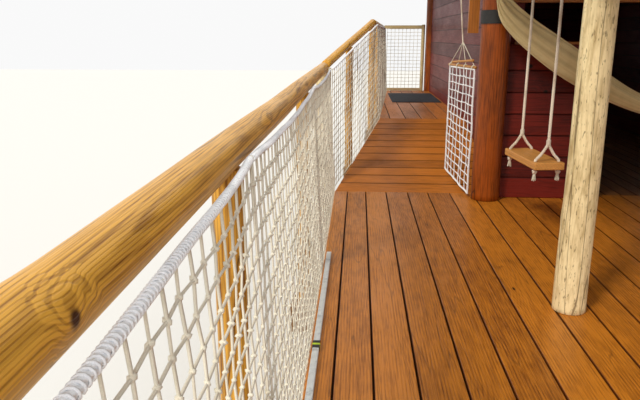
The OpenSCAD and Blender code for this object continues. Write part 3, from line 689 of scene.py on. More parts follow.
def shade_strips_under_joints(shape, node, axis, along, stops, depth, seed):
    """Thin strips under the joints of a floor, cut from its own solid; their dark finish is painted shade seen
    through the gaps.
    """
    half = 0.011
    whole = merged(node)
    floor, start = [min(v.co[k] for v in whole.verts) for k in (2, 1)]
    for place in stops[1:-1]:
        bm = whole.copy()
        trim(bm, axis, place - half, -1.0)
        trim(bm, axis, place + half, 1.0)
        rise = (place - start) * RAMP_RISE if axis == 1 else 0.0
        trim(bm, 2, floor + rise + depth, 1.0)
        shape.take(bm, along, random.Random(seed), 0.5)
    whole.free()


# Finishes


def wood(name, pale, deep, dark, along="piece", lines=60, waves=1.4, weight=0.3, knots=1.0, rough=0.5, coat=0.0,
         bump=0.4, mottle=0.5, stain=0.7, flecks=0.0, checks=0.0, tones=0.5, spots=(), base=0.30):
    """Sawn or peeled wood: growth lines that bend round its knots, fibres, stains, and a tone for each board,
    pushed dark at a joint's edge as painted shade.

    Lines are growth lines in a metre across the grain, checks are dry cracks, and tones is how far one board
    differs from the next."""
    f = Finish(name, {"Coat Roughness": 0.22, "Specular IOR Level": 0.2})
    u, v, w = f.grain(along)

    def fine(across, length, detail=3.0, roughness=0.6):
        return f.noise(f.vector(u * across, v * across, w * length), 1.0, detail, roughness)

    wander = fine(4.0, 0.8, 2.0, 0.5)
    cells = f.add("ShaderNodeTexVoronoi", {"Vector": f.vector(u * 3.4, v * 3.4, w * 1.1), "Scale": 1.0})
    halo = cells.step(0.40, 0.03)
    core = cells.step(0.075 * knots, 0.03 * knots) if knots else 0.0
    if spots:
        halo = f.spots([(x, y, z, r * 4.4) for x, y, z, r in spots], 1.1, 0.0) * 1.1 + halo
        core = (f.spots(spots, 0.9) + core).clamped()
    bend = (wander - 0.5) * (waves * 4.0) + halo * 2.2
    line = 0.0
    for side, share in ((u * 0.8 + v * 0.6, 0.65), (v * 0.92 - u * 0.69, 0.55)):
        line = (((side * lines + bend) * math.tau).sine() * 0.5 + 0.5).step(0.5, 1.0) * share + line
    fibre, spot, blotch = fine(110.0, 4.5), fine(26.0, 8.0), fine(5.0, 1.6, 3.0, 0.55)
    # Tone is each board's random tone, and at a joint's edge it darkens the wood as painted shade of the gap
    tone = f.add("ShaderNodeAttribute", out="Fac", attribute_name="tone")
    amount = (
        line * weight + (fibre - 0.5) * 1.1 + (spot - 0.5) * (1.3 * mottle) + (blotch - 0.5) * (1.5 * stain)
        + (tone - 0.5) * tones + base
    ).clamped()
    colour = f.blend(amount, pale, deep)
    height = fibre * 0.5 + (1.0 - line) * (weight * 0.9) + blotch * 0.25 - core * 0.6
    if flecks:
        colour = f.blend(fine(95.0, 27.0, 2.0, 0.55).step(0.59, 0.72) * flecks, colour, dark)
    if checks:
        crack = abs(fine(9.0, 0.55, 1.0, 0.5) - 0.5).step(0.009, 0.0) * checks
        colour = f.blend(crack, colour, dark)
        height = height - crack * 1.4
    f.feed(
        colour=f.blend(core, colour, dark), normal=f.bump(height, bump, 0.004),
        rough=(rough + (fibre - 0.5) * 0.22 + (blotch - 0.5) * 0.24).clamped(),
    )
    if coat:
        f.feed(coat=(coat * (1.2 - blotch * 0.6)).clamped())
    return f.material


def fibre_rope(name, colour, dirt, fuzz=0.6):
    """Cord and rope: pale fibres, a little dirt, and a fuzzy skin."""
    f = Finish(name, {"Roughness": 0.85, "Sheen Weight": 0.25, "Sheen Roughness": 0.5, "Specular IOR Level": 0.25})
    where = f.position()
    thread, soil = f.noise(where, 900.0, 2.0, 0.6), f.noise(where, 7.0, 3.0, 0.6)
    amount = ((thread - 0.5) * 0.9 + soil.step(0.45, 0.75) * 0.45 + 0.12).clamped()
    f.feed(colour=f.blend(amount, colour, dirt), normal=f.bump(thread, fuzz, 0.0012))
    return f.material


def canvas(name, colour, deep):
    """Woven hammock cloth: fine threads, faint lengthwise bands, and patches of soil."""
    f = Finish(name, {"Sheen Weight": 0.35, "Sheen Roughness": 0.4, "Specular IOR Level": 0.2})
    across, along, _ = f.split(f.add("ShaderNodeUVMap", uv_map="cloth"))
    threads = math.tau * 420.0
    weave = (along * threads).sine() * (across * threads).sine()
    band = f.noise(f.vector(across * 26.0, along * 0.5, 0.0), 1.0, 2.0, 0.6)
    soil = f.noise(f.position(), 4.0, 4.0, 0.6)
    amount = ((band - 0.5) * 1.2 + (soil - 0.5) * 0.9 + weave * 0.05 + 0.3).clamped()
    normal = f.bump(weave * 0.25 + band, 0.5, 0.0015)
    f.feed(colour=f.blend(amount, colour, deep), rough=soil * 0.2 + 0.78, normal=normal)
    return f.material


def woven_mat(name, colour, pale):
    """Dark mat of coarse ribs and short fibres."""
    f = Finish(name, {"Specular IOR Level": 0.3})
    where = f.position()
    x, y, _ = f.split(where)
    ribs = math.tau * 55.0
    rib = ((x * ribs).sine() * 0.5 + 0.5) * ((y * ribs).sine() * 0.5 + 0.5)
    pile, wear = f.noise(where, 420.0, 3.0, 0.7), f.noise(where, 3.0, 3.0, 0.6)
    amount = (pile.step(0.5, 0.8) * 0.5 + wear.step(0.5, 0.8) * 0.3 + rib * 0.12).clamped()
    normal = f.bump(rib * 0.6 + pile * 0.5, 0.8, 0.004)
    f.feed(colour=f.blend(amount, colour, pale), rough=(0.62 + pile * 0.3).clamped(), normal=normal)
    return f.material


def metal(name, colour, worn, metallic, rough):
    """Sheet or forged metal with brushed lines and worn, duller places."""
    f = Finish(name, {"Metallic": metallic})
    where = f.position()
    x, y, z = f.split(where)
    brush = f.noise(f.vector(x * 260.0, y * 6.0, z * 260.0))
    patch = f.noise(where, 22.0, 4.0, 0.65)
    f.feed(
        colour=f.blend((patch.step(0.5, 0.72) * 0.7 + (brush - 0.5) * 0.4).clamped(), colour, worn),
        rough=(rough + (brush - 0.5) * 0.3 + (patch - 0.5) * 0.3).clamped(),
        normal=f.bump(brush * 0.4 + patch, 0.35, 0.0012),
    )
    return f.material


# Each wood: its name, its pale colour, its deep colour or that share of the pale one, the colour of its knots
# and cracks, and how its grain differs from the plain one. A colour is one of the house's or six digits.
BLACK, UMBER = "24120a", "3a1a08"
WOODS = {
    "deck": ("Deck boards", "deck", "deck_deep", BLACK, dict(
        lines=85, waves=1.5, weight=0.36, knots=0.5, rough=0.38, coat=0.12, bump=0.3, mottle=0.75, stain=0.5,
        checks=0.35, tones=0.35, base=0.16)),
    "ramp": ("Ramp boards", "ramp", 0.35, BLACK, dict(
        waves=0.9, weight=0.28, knots=0.7, coat=0.08, bump=0.3, mottle=0.7, stain=0.6, tones=0.7, base=0.22)),
    "rail": ("Varnished log", "rail", "rail_deep", UMBER, dict(
        lines=150, waves=1.7, weight=0.55, knots=0.8, rough=0.42, coat=0.14, bump=0.35, mottle=0.45, stain=0.6,
        checks=0.6, tones=0.2, spots=((RAIL_LEFT + 47, 590.0, RAIL_Z + 4, 0.017),), base=0.08)),
    "post": ("Peeled post", "rail", "rail_deep", UMBER, dict(
        lines=80, waves=1.6, weight=0.45, knots=0.9, coat=0.12, bump=0.35, stain=0.8, checks=0.8, tones=0.4)),
    "pale": ("Weathered pale log", "pale", "a58a58", "57421f", dict(
        lines=38, waves=3.2, weight=0.22, knots=0.5, rough=0.75, bump=0.9, mottle=1.4, stain=0.9, flecks=0.7,
        checks=0.7, tones=0.3, base=0.18)),
    "dark_log": ("Dark varnished post", "dark_log", 0.25, BLACK, dict(
        lines=55, waves=1.6, weight=0.4, knots=0.7, rough=0.45, coat=0.10, mottle=0.8, stain=1.0, checks=0.8,
        tones=0.3, base=0.22)),
    "siding": ("Siding", "siding", 0.35, "150806", dict(
        lines=50, waves=1.2, knots=0.9, rough=0.55, coat=0.1, mottle=0.6, stain=0.8, tones=0.8,
        spots=((1560, 5950, 3640, 0.030), (1720, 5950, 3410, 0.026)))),
    "cabin": ("Cabin boards", "9c6a3c", "573018", BLACK, dict(
        waves=1.0, weight=0.25, knots=0.7, coat=0.08, bump=0.3)),
    # Near-black strips under the floor joints: painted shade seen through the gaps
    "joint_strip": ("Joint strips", "3a1c0c", "1e0e06", BLACK, dict(waves=1.0, weight=0.2, knots=0.0, rough=0.8)),
    "shingle": ("Shingles", "roof", 0.4, BLACK, dict(
        along="X", waves=0.8, weight=0.25, knots=0.3, rough=0.8, bump=0.8, tones=0.9)),
    "board": ("Roof boards", "8a6138", "4a2f18", BLACK, dict(lines=50, waves=1.2, knots=0.6, rough=0.7)),
    "seat": ("Pine seat", "pine", 0.5, "4a2410", dict(
        weight=0.4, knots=0.8, rough=0.48, coat=0.12, bump=0.3, mottle=0.4, stain=0.5)),
    "pale_frame": ("Pale frame", "cdb98c", "8f7546", "4a3820", dict(
        along="X", lines=55, waves=1.0, knots=0.6, rough=0.6)),
}
for way in "XYZ":
    WOODS["beam_" + way] = ("Beam along " + way, "beam", 0.4, BLACK, dict(
        along=way, lines=55, weight=0.35, knots=0.8, coat=0.12))
    WOODS["framing_" + way] = ("Framing along " + way, "frame", 0.4, BLACK, dict(
        along=way, lines=50, knots=0.9, rough=0.75, bump=0.6, checks=0.5))


@functools.cache
def finishes():
    """Every finish of the house, made once from its colours."""
    colours = bpy.context.scene.house_colours

    def tint(source, share=1.0):
        return tuple(c * share for c in linear(getattr(colours, source, None) or rgb(source)))

    fin = types.SimpleNamespace(
        net=fibre_rope("Net cord", tint("net"), tint("988e74")),
        white_rope=fibre_rope("White rope", tint("f3f5f8"), tint("b9bfc4")),
        rope=fibre_rope("Twisted rope", tint("rope"), tint("94765a"), 0.8),
        cloth=canvas("Canvas", tint("cloth"), tint("a48c58")),
        mat=woven_mat("Woven mat", tint("mat"), tint("59606c")),
        strip=metal("Grey strip", tint("cfd3d3"), tint("9aa0a1"), 0.25, 0.38),
        iron=metal("Dark iron", tint("2b2724"), tint("5a3a28"), 0.6, 0.55),
        strap=metal("Black strap", tint("15130f"), tint("2e2a25"), 0.0, 0.6),
        joint=metal("Strip joint", tint("16160f"), tint("2d2f12"), 0.0, 0.5),
        clip=metal("Green clip", tint("aac324"), tint("6d8018"), 0.0, 0.5),
    )
    for key, (name, pale, deep, dark, grain) in WOODS.items():
        deeper = tint(deep) if isinstance(deep, str) else tint(pale, deep)
        setattr(fin, key, wood(name, tint(pale), deeper, tint(dark), **grain))
    return fin


# Stage


class HOUSE_OT_stage(bpy.types.Operator):
    """Set the pale floor, the soft light and the camera on the open strip"""

    bl_idname = "house.stage"
    bl_label = "Stage"

    def execute(self, context):
        scene = context.scene
        scene.view_settings.view_transform = "Standard"
        floor = bpy.data.meshes.new("studio_floor")
        bm = bmesh.new()
        bmesh.ops.create_grid(bm, x_segments=1, y_segments=1, size=70.0)
        bm.to_mesh(floor)
        bm.free()
        ground = bpy.data.objects.new("studio_floor", floor)
        scene.collection.objects.link(ground)
        floor.materials.append(
            Finish("Studio floor", {"Base Color": (0.78, 0.78, 0.76, 1.0), "Roughness": 0.9}).material
        )

        world = bpy.data.worlds.new("Studio")
        scene.world = world
        world.use_nodes = True
        world.node_tree.nodes.clear()
        sky = Nodes(world.node_tree)
        rays = sky.add("ShaderNodeLightPath", out="Is Camera Ray")
        seen = (rays + rays.other("Is Glossy Ray") + rays.other("Is Transmission Ray")).clamped()
        soft = sky.add("ShaderNodeBackground", {"Color": (1.0, 0.98, 0.94, 1.0), "Strength": 0.6})
        white = sky.add("ShaderNodeBackground", {"Color": (1.0, 1.0, 1.0, 1.0), "Strength": 0.95})
        sky.add("ShaderNodeOutputWorld", {0: sky.add("ShaderNodeMixShader", {0: seen, 1: soft, 2: white})})

        for name, energy, colour, turn, soften in (
            ("Key", 2.2, (1.0, 0.94, 0.84), (48.0, 0.0, -38.0), 12.0),
            ("Fill", 1.5, (0.95, 0.97, 1.0), (60.0, 0.0, 16.0), 30.0),
        ):
            lamp = bpy.data.lights.new(name, "SUN")
            lamp.energy, lamp.color, lamp.angle = energy, colour, math.radians(soften)
            sun = bpy.data.objects.new(name, lamp)
            sun.rotation_euler = [math.radians(a) for a in turn]
            scene.collection.objects.link(sun)

        camera = bpy.data.cameras.new("Camera")
        camera.lens, camera.sensor_width = 35.3, 36.0
        camera.clip_start, camera.clip_end = 0.05, 400.0
        eye = bpy.data.objects.new("Camera", camera)
        eye.location = (-2.380, -6.025, 3.900)
        eye.rotation_euler = (math.radians(75.4), 0.0, math.radians(3.47))
        scene.collection.objects.link(eye)
        scene.camera = eye
        return {"FINISHED"}


# Floors


class HOUSE_OT_floors(bpy.types.Operator):
    """Lay the boards of the terrace, cabin, ramp and landing, cut from the floors' own solids"""

    bl_idname = "house.floors"
    bl_label = "Floor boards"

    def execute(self, context):
        sizes, fin = context.scene.house_sizes, finishes()

        def x_stops(node, first, pitch):
            low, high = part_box(node)
            return stepped(low.x, high.x, pitch / 1000.0, at(first, 0, 0).x)

        seams = list(DECK_SEAMS)
        while seams[-1] < DECK_RIGHT - 300:
            seams.append(seams[-1] + DECK_BOARD)
        low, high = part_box("terrace_deck")
        deck = [low.x - PAST] + [at(x, 0, 0).x for x in seams] + [high.x + PAST]
        cabin = x_stops("cabin_floor", WALL_LEFT + CABIN_BOARD, CABIN_BOARD)
        landing = x_stops("landing_deck", 418.0, DECK_BOARD)
        low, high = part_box("ramp_deck")
        ramp = stepped(low.y, high.y, sizes.ramp_board)
        # Joint, rounding and height of the strips below, for lengthwise boards and for cross boards
        lengthwise = (sizes.board_gap, sizes.board_edge, 0.012)
        crosswise = (sizes.board_gap + 0.005, 0.006, 0.016)
        strips = Shape()
        for name, node, axis, along, stops, (gap, edge, depth), seed, finish, slot in (
            ("terrace_boards", "terrace_deck", 0, "Y", deck, lengthwise, 0, fin.deck, "deck"),
            ("cabin_boards", "cabin_floor", 0, "Y", cabin, lengthwise, 1, fin.cabin, "deck"),
            ("landing_boards", "landing_deck", 0, "Y", landing, lengthwise, 2, fin.ramp, "ramp"),
            ("ramp_cross_boards", "ramp_deck", 1, "X", ramp, crosswise, 9, fin.ramp, "ramp"),
        ):
            shape = Shape()
            cut_boards(shape, node, axis, along, stops, gap, edge, sizes.seed + seed)
            shape.place(name, finish, slot, node)
            # The dark strips under the joints paint the shade seen through the gaps
            shade_strips_under_joints(strips, node, axis, along, stops, depth, sizes.seed)
        strips.place("joint_strips", fin.joint_strip, "frame")
        return {"FINISHED"}


class HOUSE_OT_mat_and_strip(bpy.types.Operator):
    """Lay the landing's mat with its bound edge, and the grey strip along the terrace's left edge"""

    bl_idname = "house.mat_and_strip"
    bl_label = "Mat and edge strip"

    def execute(self, context):
        fin = finishes()
        low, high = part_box("landing_mat")
        span, binding = high - low, 0.012
        bm = bmesh.new()
        bmesh.ops.create_grid(bm, x_segments=40, y_segments=60, size=0.5)
        for v in bm.verts:
            x, y = v.co.x, v.co.y
            rim = min(0.5 - abs(x), (0.5 - abs(y)) * span.y / span.x) * span.x
            rise = span.z * (0.55 + 0.45 * min(1.0, rim / binding))
            wave = 0.0012 * noise.noise(Vector((x * 6, y * 9, 0.3)))
            v.co = Vector((low.x + (x + 0.5) * span.x, low.y + (y + 0.5) * span.y, low.z + rise * 0.92 + wave))
        top = bm.faces[:]
        skirt = bmesh.ops.extrude_edge_only(bm, edges=[e for e in bm.edges if e.is_boundary])
        for v in skirt["geom"]:
            if isinstance(v, bmesh.types.BMVert):
                v.co.z = low.z
        bmesh.ops.holes_fill(bm, edges=[e for e in bm.edges if e.is_boundary])
        bmesh.ops.recalc_face_normals(bm, faces=bm.faces)
        for f in top:
            f.smooth = True
        mesh = bpy.data.meshes.new("door_mat")
        bm.to_mesh(mesh)
        bm.free()
        piece("door_mat", mesh, fin.mat, "mat", "landing_mat")

        low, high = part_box("edge_trunking")
        chance = random.Random(context.scene.house_sizes.seed)
        joint = at(0, 2830, 0).y
        shape = Shape(chance)
        for start, end in ((low.y, joint - 0.001), (joint + 0.001, high.y)):
            shape.plank(Vector((low.x, start, low.z)), Vector((high.x, end, high.z)), "Y", 0.003)
        shape.place("edge_strip", fin.strip, "trunking", "edge_trunking")
        for name, finish, slot, bands, half, out, top in (
            ("strip_joint", fin.joint, "iron", (-0.022, 0.022), 0.014, 0.002, 0.003),
            ("strip_clip", fin.clip, "trunking", (0.0,), 0.008, 0.003, 0.004),
        ):
            shape = Shape(chance)
            for y in bands:
                start = Vector((low.x - out, joint + y - half, low.z))
                shape.plank(start, Vector((high.x + out, joint + y + half, high.z + top)), "Y", 0.002)
            shape.place(name, finish, slot)
        return {"FINISHED"}


# Balustrade


class HOUSE_OT_rails(bpy.types.Operator):
    """Raise the log handrails and the posts that carry them"""

    bl_idname = "house.rails"
    bl_label = "Handrails"

    def execute(self, context):
        fin = finishes()
        chance = random.Random(context.scene.house_sizes.seed + 20)
        raise_logs(
            "terrace_handrail", fin.rail, "log_honey", "handrail_terrace", chance,
            [(at(RAIL_LEFT, -790, RAIL_Z), at(RAIL_LEFT, 6275, RAIL_Z), 0.05)], sides=40, pace=0.05, sway=0.002,
            lumps=((1.35, 2.4, 0.003), (2.9, 0.8, 0.004), (4.6, 3.4, 0.004), (6.1, 1.6, 0.003)),
        )
        runs = ((ROWS[3] + 60, LAND_ROWS[0] - 4), (LAND_ROWS[0] + 4, 12660))
        raise_logs(
            "slope_handrail", fin.rail, "log_honey", "handrail_slope", chance,
            [(rail_point(a), rail_point(b), 0.045) for a, b in runs], rough=0.03, pace=0.07, sway=0.002,
        )
        right, inner = Shape(chance), RAIL_RIGHT - 51
        for x0, y0, x1, y1, sway in (
            (RAIL_RIGHT, -920, RAIL_RIGHT, 6250, 0.002),
            (WALL_RIGHT, ROWS[3], inner, ROWS[3], 0.0),
            (inner, RAIL_FRONT, 1125, RAIL_FRONT, 0.002),
        ):
            right.log(at(x0, y0, RAIL_Z), at(x1, y1, RAIL_Z), 0.05, rough=0.03, sway=sway)
        right.place("right_handrail", fin.rail, "log_honey", "handrail_right", smooth=True)

        side_foot, front_foot, ramp_foot, landing_foot = 2148, 2360, 2418, 2682
        feet = [(RAIL_LEFT, y, side_foot) for y in ROWS[:3]] + [(RAIL_RIGHT, y, side_foot) for y in ROWS]
        feet += [(DECK_RIGHT - FRONT_BAY * k, RAIL_FRONT, front_foot) for k in range(4)]
        posts = [(at(x, y, z), at(x, y, RAIL_Z - 42), 0.045) for x, y, z in feet]
        for y in (RAMP_MID, *LAND_ROWS):
            head = rail_point(y, 38)
            foot = Vector((head.x, head.y, (landing_foot if y > RAMP_MID else ramp_foot) / 1000))
            posts.append((foot, head, 0.045))
        raise_logs("balustrade_posts", fin.post, "log_honey", "rail_posts", chance, posts, rough=0.04, sides=28)
        low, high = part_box("corner_post")
        corner = [at(RAIL_LEFT, ROWS[3], z) for z in (low.z * 1000, high.z * 1000 - 42)]
        raise_logs(
            "pale_corner_post", fin.pale, "log_pale", "corner_post", chance, [(*corner, 0.075)], sides=36,
            pace=0.06,
        )
        return {"FINISHED"}


def patch(low_start, low_end, high_start, high_end, sag, belly):
    """A four-sided patch whose top sags and whose middle hangs a little out of flat."""
    out = (low_end - low_start).cross(high_start - low_start).normalized()

    def spot(s, t):
        low, high = low_start.lerp(low_end, s), high_start.lerp(high_end, s)
        fall = sag * 4.0 * s * (1.0 - s)
        place = low.lerp(high, t * (1.0 - fall / (high - low).length))
        return place + out * belly * noise.noise(Vector((s * 5.0, t * 3.0, low.y)))

    return spot


def hang_net(name, patches, sizes, *node):
    """A knotted net over its patches and its bottom cord. One that stands for a node has a lashed top rope."""
    fin = finishes()
    chance = random.Random(sizes.seed + len(name))
    net, tops, feet = Lines(), Lines(), Lines()
    for spot, columns, rows in patches:
        net.weave(spot, columns, rows, chance, 0.0022)
        tops.lay([spot(k / 24, 1.0) for k in range(25)])
        feet.lay([spot(k / 24, 0.0) for k in range(25)])
    tied(name, net, fin.net, sizes.cord, sizes.knot, 4, sizes.seed, *node)
    if node:
        laid(name + "_top_rope", tops, fin.white_rope, (0.09, sizes.rope * 0.36, sizes.rope * 0.56, 3, 8, 0.012))
        lashing = (sizes.lashing, sizes.rope * 0.96, 0.0022, 1, 4, sizes.lashing / 9)
        laid(name + "_lashing", tops, fin.white_rope, lashing)
    laid(name + "_edge_cord", feet, fin.net, NET_FOOT_LAY)


class HOUSE_OT_nets(bpy.types.Operator):
    """Tie the nets of the terrace, its right and front sides, the ramp and the landing"""

    bl_idname = "house.nets"
    bl_label = "Rope nets"

    def execute(self, context):
        sizes = context.scene.house_sizes
        # How far a bay stops short of the middle of a post on its way, of a thin end post and of a thick one
        join, thin_end, thick_end = 6.0, 65.0, 95.0
        foot_x, top_x, sag, belly = -224.3, -275.7, 0.03, 0.006

        def squares(run, height):
            return max(4, round(run / sizes.mesh_along)), max(4, round(height / sizes.mesh_up))

        def bay(a, b, put=at, lean=0.0):
            """A bay between two posts of a level side; put turns a place on the left side into one on its own.

            Lean pulls the squares askew: their columns run away from the camera as they go down."""
            low0, low1 = [put(foot_x, y, DECK - 25) for y in (a, b)]
            high0, high1 = [put(top_x, y, RAIL_Z - 16) for y in (a, b)]
            flat = patch(low0, low1, high0, high1, sag, belly)

            def leaning(s, t):
                away = lean * (1.0 - t) * 4.0 * s * (1.0 - s) * (1.0 - s)
                return flat(s, t) + Vector((0.0, away, 0.0))

            return leaning if lean else flat, *squares((low1 - low0).length, (high0 - low0).length)

        def slope(a, b, low_pull=0.0, high_pull=0.0):
            """A bay of the sloping side. Its first end may be pulled outwards to a post, at foot and top."""
            corners = []
            for up, out, pull in ((-15, 4.3, low_pull), (1179, 56, high_pull)):
                corners += [at(edge_x(a) - out - pull, a, floor_z(a) + up), at(edge_x(b) - out, b, floor_z(b) + up)]
            return patch(*corners, 0.0, belly), *squares((corners[1] - corners[0]).length, 1.194)

        def on_right(x, y, z):
            return at(DECK_LEFT + DECK_RIGHT - x, y, z)

        def on_front(x, y, z):
            return at(DECK_RIGHT - y, x + DECK_FRONT - DECK_LEFT, z)

        near, middle = (ROWS[0] + join, ROWS[1] - join), (ROWS[1] + join, ROWS[2] - join)
        bays = [bay(*near, lean=0.30), bay(*middle), bay(ROWS[2] + join, ROWS[3] - thick_end)]
        hang_net("terrace_knotted_net", bays, sizes, "terrace_net")
        bays = [bay(*span, on_right) for span in (near, middle, (ROWS[2] + join, ROWS[3] - thin_end))]
        hang_net("right_knotted_net", bays, sizes, "right_net")
        bays = [bay(FRONT_BAY * k + join, FRONT_BAY * (k + 1) - join, on_front) for k in range(3)]
        hang_net("front_knotted_net", bays, sizes, "front_net")
        bays = [slope(RAMP_START + 70, RAMP_MID - join, 42.0, -6.0), slope(RAMP_MID + join, RAMP_END - 3)]
        hang_net("ramp_knotted_net", bays, sizes, "ramp_net")
        bays = [
            slope(RAMP_END + 3, LAND_ROWS[1] - join), slope(LAND_ROWS[1] + join, LAND_ROWS[2] - join),
            slope(LAND_ROWS[2] + join, LAND_ROWS[3] - thin_end),
        ]
        hang_net("landing_knotted_net", bays, sizes, "landing_net")
        y, z0, z1 = LAND_ROWS[3], LANDING + 58, LANDING + 1182
        x0, x1 = edge_x(y) - 20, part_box("landing_end_frame")[1].x * 1000 + 2380 - 64
        end = patch(at(x0, y, z0), at(x1, y, z0), at(x0, y, z1), at(x1, y, z1), 0.0, 0.004)
        hang_net("landing_end_knotted_net", [(end, squares((x1 - x0) / 1000, 1.0)[0], 17)], sizes)
        return {"FINISHED"}


# Posts, beams and walls


class HOUSE_OT_posts(bpy.types.Operator):
    """Raise the rough pale posts of the covered terrace and the dark posts at the cabin's corners"""

    bl_idname = "house.posts"
    bl_label = "Log posts"

    def execute(self, context):
        fin = finishes()
        chance = random.Random(context.scene.house_sizes.seed + 40)

        def post(x, y, radius):
            return at(x, y, DECK), at(x, y, POST_TOP), radius

        raise_logs(
            "rough_log_post", fin.pale, "log_pale", "log_post", chance, [post(1210, 3375, 0.095)], rough=0.045,
            sides=56, pace=0.03, sway=0.003, lumps=((0.55, 3.6, 0.004), (1.25, 4.6, 0.004), (1.8, 2.6, 0.005)),
            taper=0.13,
        )
        raise_logs(
            "terrace_log_posts", fin.pale, "log_pale", "porch_posts", chance,
            [post(x, y, 0.095) for x, y in ((1170, -450), (4750, -450), (4750, 3375))],
            rough=0.05, sides=48, pace=0.06, sway=0.003,
        )
        corners = ((1220, 5900, 0.135), (4700, 5900, 0.135), (1410, 12690, 0.1275), (4510, 12690, 0.1275))
        raise_logs(
            "dark_corner_posts", fin.dark_log, "log_dark", "dark_posts", chance, [post(*c) for c in corners],
            rough=0.03, sides=56, pace=0.06, sway=0.002,
        )
        dress(fin.strap, "post_straps")
        return {"FINISHED"}


class HOUSE_OT_walls(bpy.types.Operator):
    """Lay the wall boards in courses, cut from the walls' own solids"""

    bl_idname = "house.walls"
    bl_label = "Siding"

    def execute(self, context):
        sizes = context.scene.house_sizes
        walls = (
            ("front_siding_left", "front_wall_left", "X"), ("front_siding_right", "front_wall_right", "X"),
            ("gable_siding", "front_gable", "X"), ("back_siding", "back_wall", "X"),
            ("left_siding", "left_wall", "Y"), ("right_siding", "right_wall", "Y"),
        )
        for number, (name, node, along) in enumerate(walls):
            low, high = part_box(node)
            first = DECK / 1000.0 + sizes.course
            while first < low.z + 0.04:
                first += sizes.course
            shape, stops = Shape(), stepped(low.z, high.z, sizes.course, first)
            cut_boards(shape, node, 2, along, stops, 0.0, 0.009, sizes.seed + 60 + number, 0.9)
            shape.place(name, finishes().siding, "siding", node)
        return {"FINISHED"}


# Boards of a window from its middle, in millimetres: two places along the wall, two out from its face, two
# up, and whether the board stands upright. First the lining, then the cross of bars and the trim.
WINDOW = (
    (-450, -405, -115, -5, -400, 400, True), (405, 450, -115, -5, -400, 400, True),
    (-405, 405, -115, -5, -400, -355, False), (-405, 405, -115, -5, 355, 400, False),
    (-14, 14, -75, -45, -355, 355, True), (-405, 405, -73, -47, -14, 14, False),
    (-530, -450, 0, 18, -490, 490, True), (450, 530, 0, 18, -490, 490, True),
    (-450, 450, 0, 20, -490, -400, False), (-450, 450, 0, 20, 400, 490, False),
)


class HOUSE_OT_windows(bpy.types.Operator):
    """Frame the windows of the back and right walls, and trim the low front wall"""

    bl_idname = "house.windows"
    bl_label = "Window frames"

    def execute(self, context):
        fin = finishes()
        chance = random.Random(context.scene.house_sizes.seed + 80)
        shape, sill, middle_z = Shape(chance), DECK + 1430, DECK + 1350
        windows = ((7400.0, WALL_RIGHT, "Y"), (9300.0, WALL_RIGHT, "Y"), (RIDGE_X - 360.0, WALL_BACK, "X"))
        for middle, face, wide in windows:
            for u0, u1, out0, out1, z0, z1, upright in WINDOW:
                ends = []
                for u, out, z in ((u0, out0, z0), (u1, out1, z1)):
                    x, y = (face + out, middle + u) if wide == "Y" else (middle + u, face + out)
                    ends.append(at(x, y, middle_z + z))
                shape.plank(*ends, "Z" if upright else wide, 0.004)
        shape.place("window_frames", fin.seat, "beam")
        shape = Shape(chance)
        for a, b in ((2168, 2250), (3150, 3232)):
            shape.plank(at(a, 5932, DECK), at(b, 5950, sill), "Z", 0.004)
        for a, b in ((1430, 2250), (3150, 4490)):
            shape.plank(at(a, 5925, sill), at(b, 6075, sill + 25), "X", 0.004)
        shape.place("low_wall_trim", fin.beam_X, "beam")
        return {"FINISHED"}


class HOUSE_OT_timber(bpy.types.Operator):
    """Finish the stilts, bearers, joists, beams and ironwork that are carried over as they are"""

    bl_idname = "house.timber"
    bl_label = "Framing finishes"

    def execute(self, context):
        fin = finishes()
        dress(fin.framing_Z, "stilts", "stilt_braces")
        dress(fin.framing_X, "bearers", "rafters")
        dress(fin.framing_Y, "joists", "ramp_boards", "ridge_beam")
        dress(fin.beam_X, "cross_beams", "rim_boards")
        dress(fin.beam_Y, "eaves_beams", "swing_beam")
        dress(fin.beam_Z, "eaves_boards")
        dress(fin.iron, "swing_hangers")
        dress(fin.pale_frame, "landing_end_frame")
        return {"FINISHED"}


BLOCK = [(0, 1, 2, 3), (7, 6, 5, 4), (0, 4, 5, 1), (1, 5, 6, 2), (2, 6, 7, 3), (3, 7, 4, 0)]
ROOF_PITCH = math.radians(28.0)


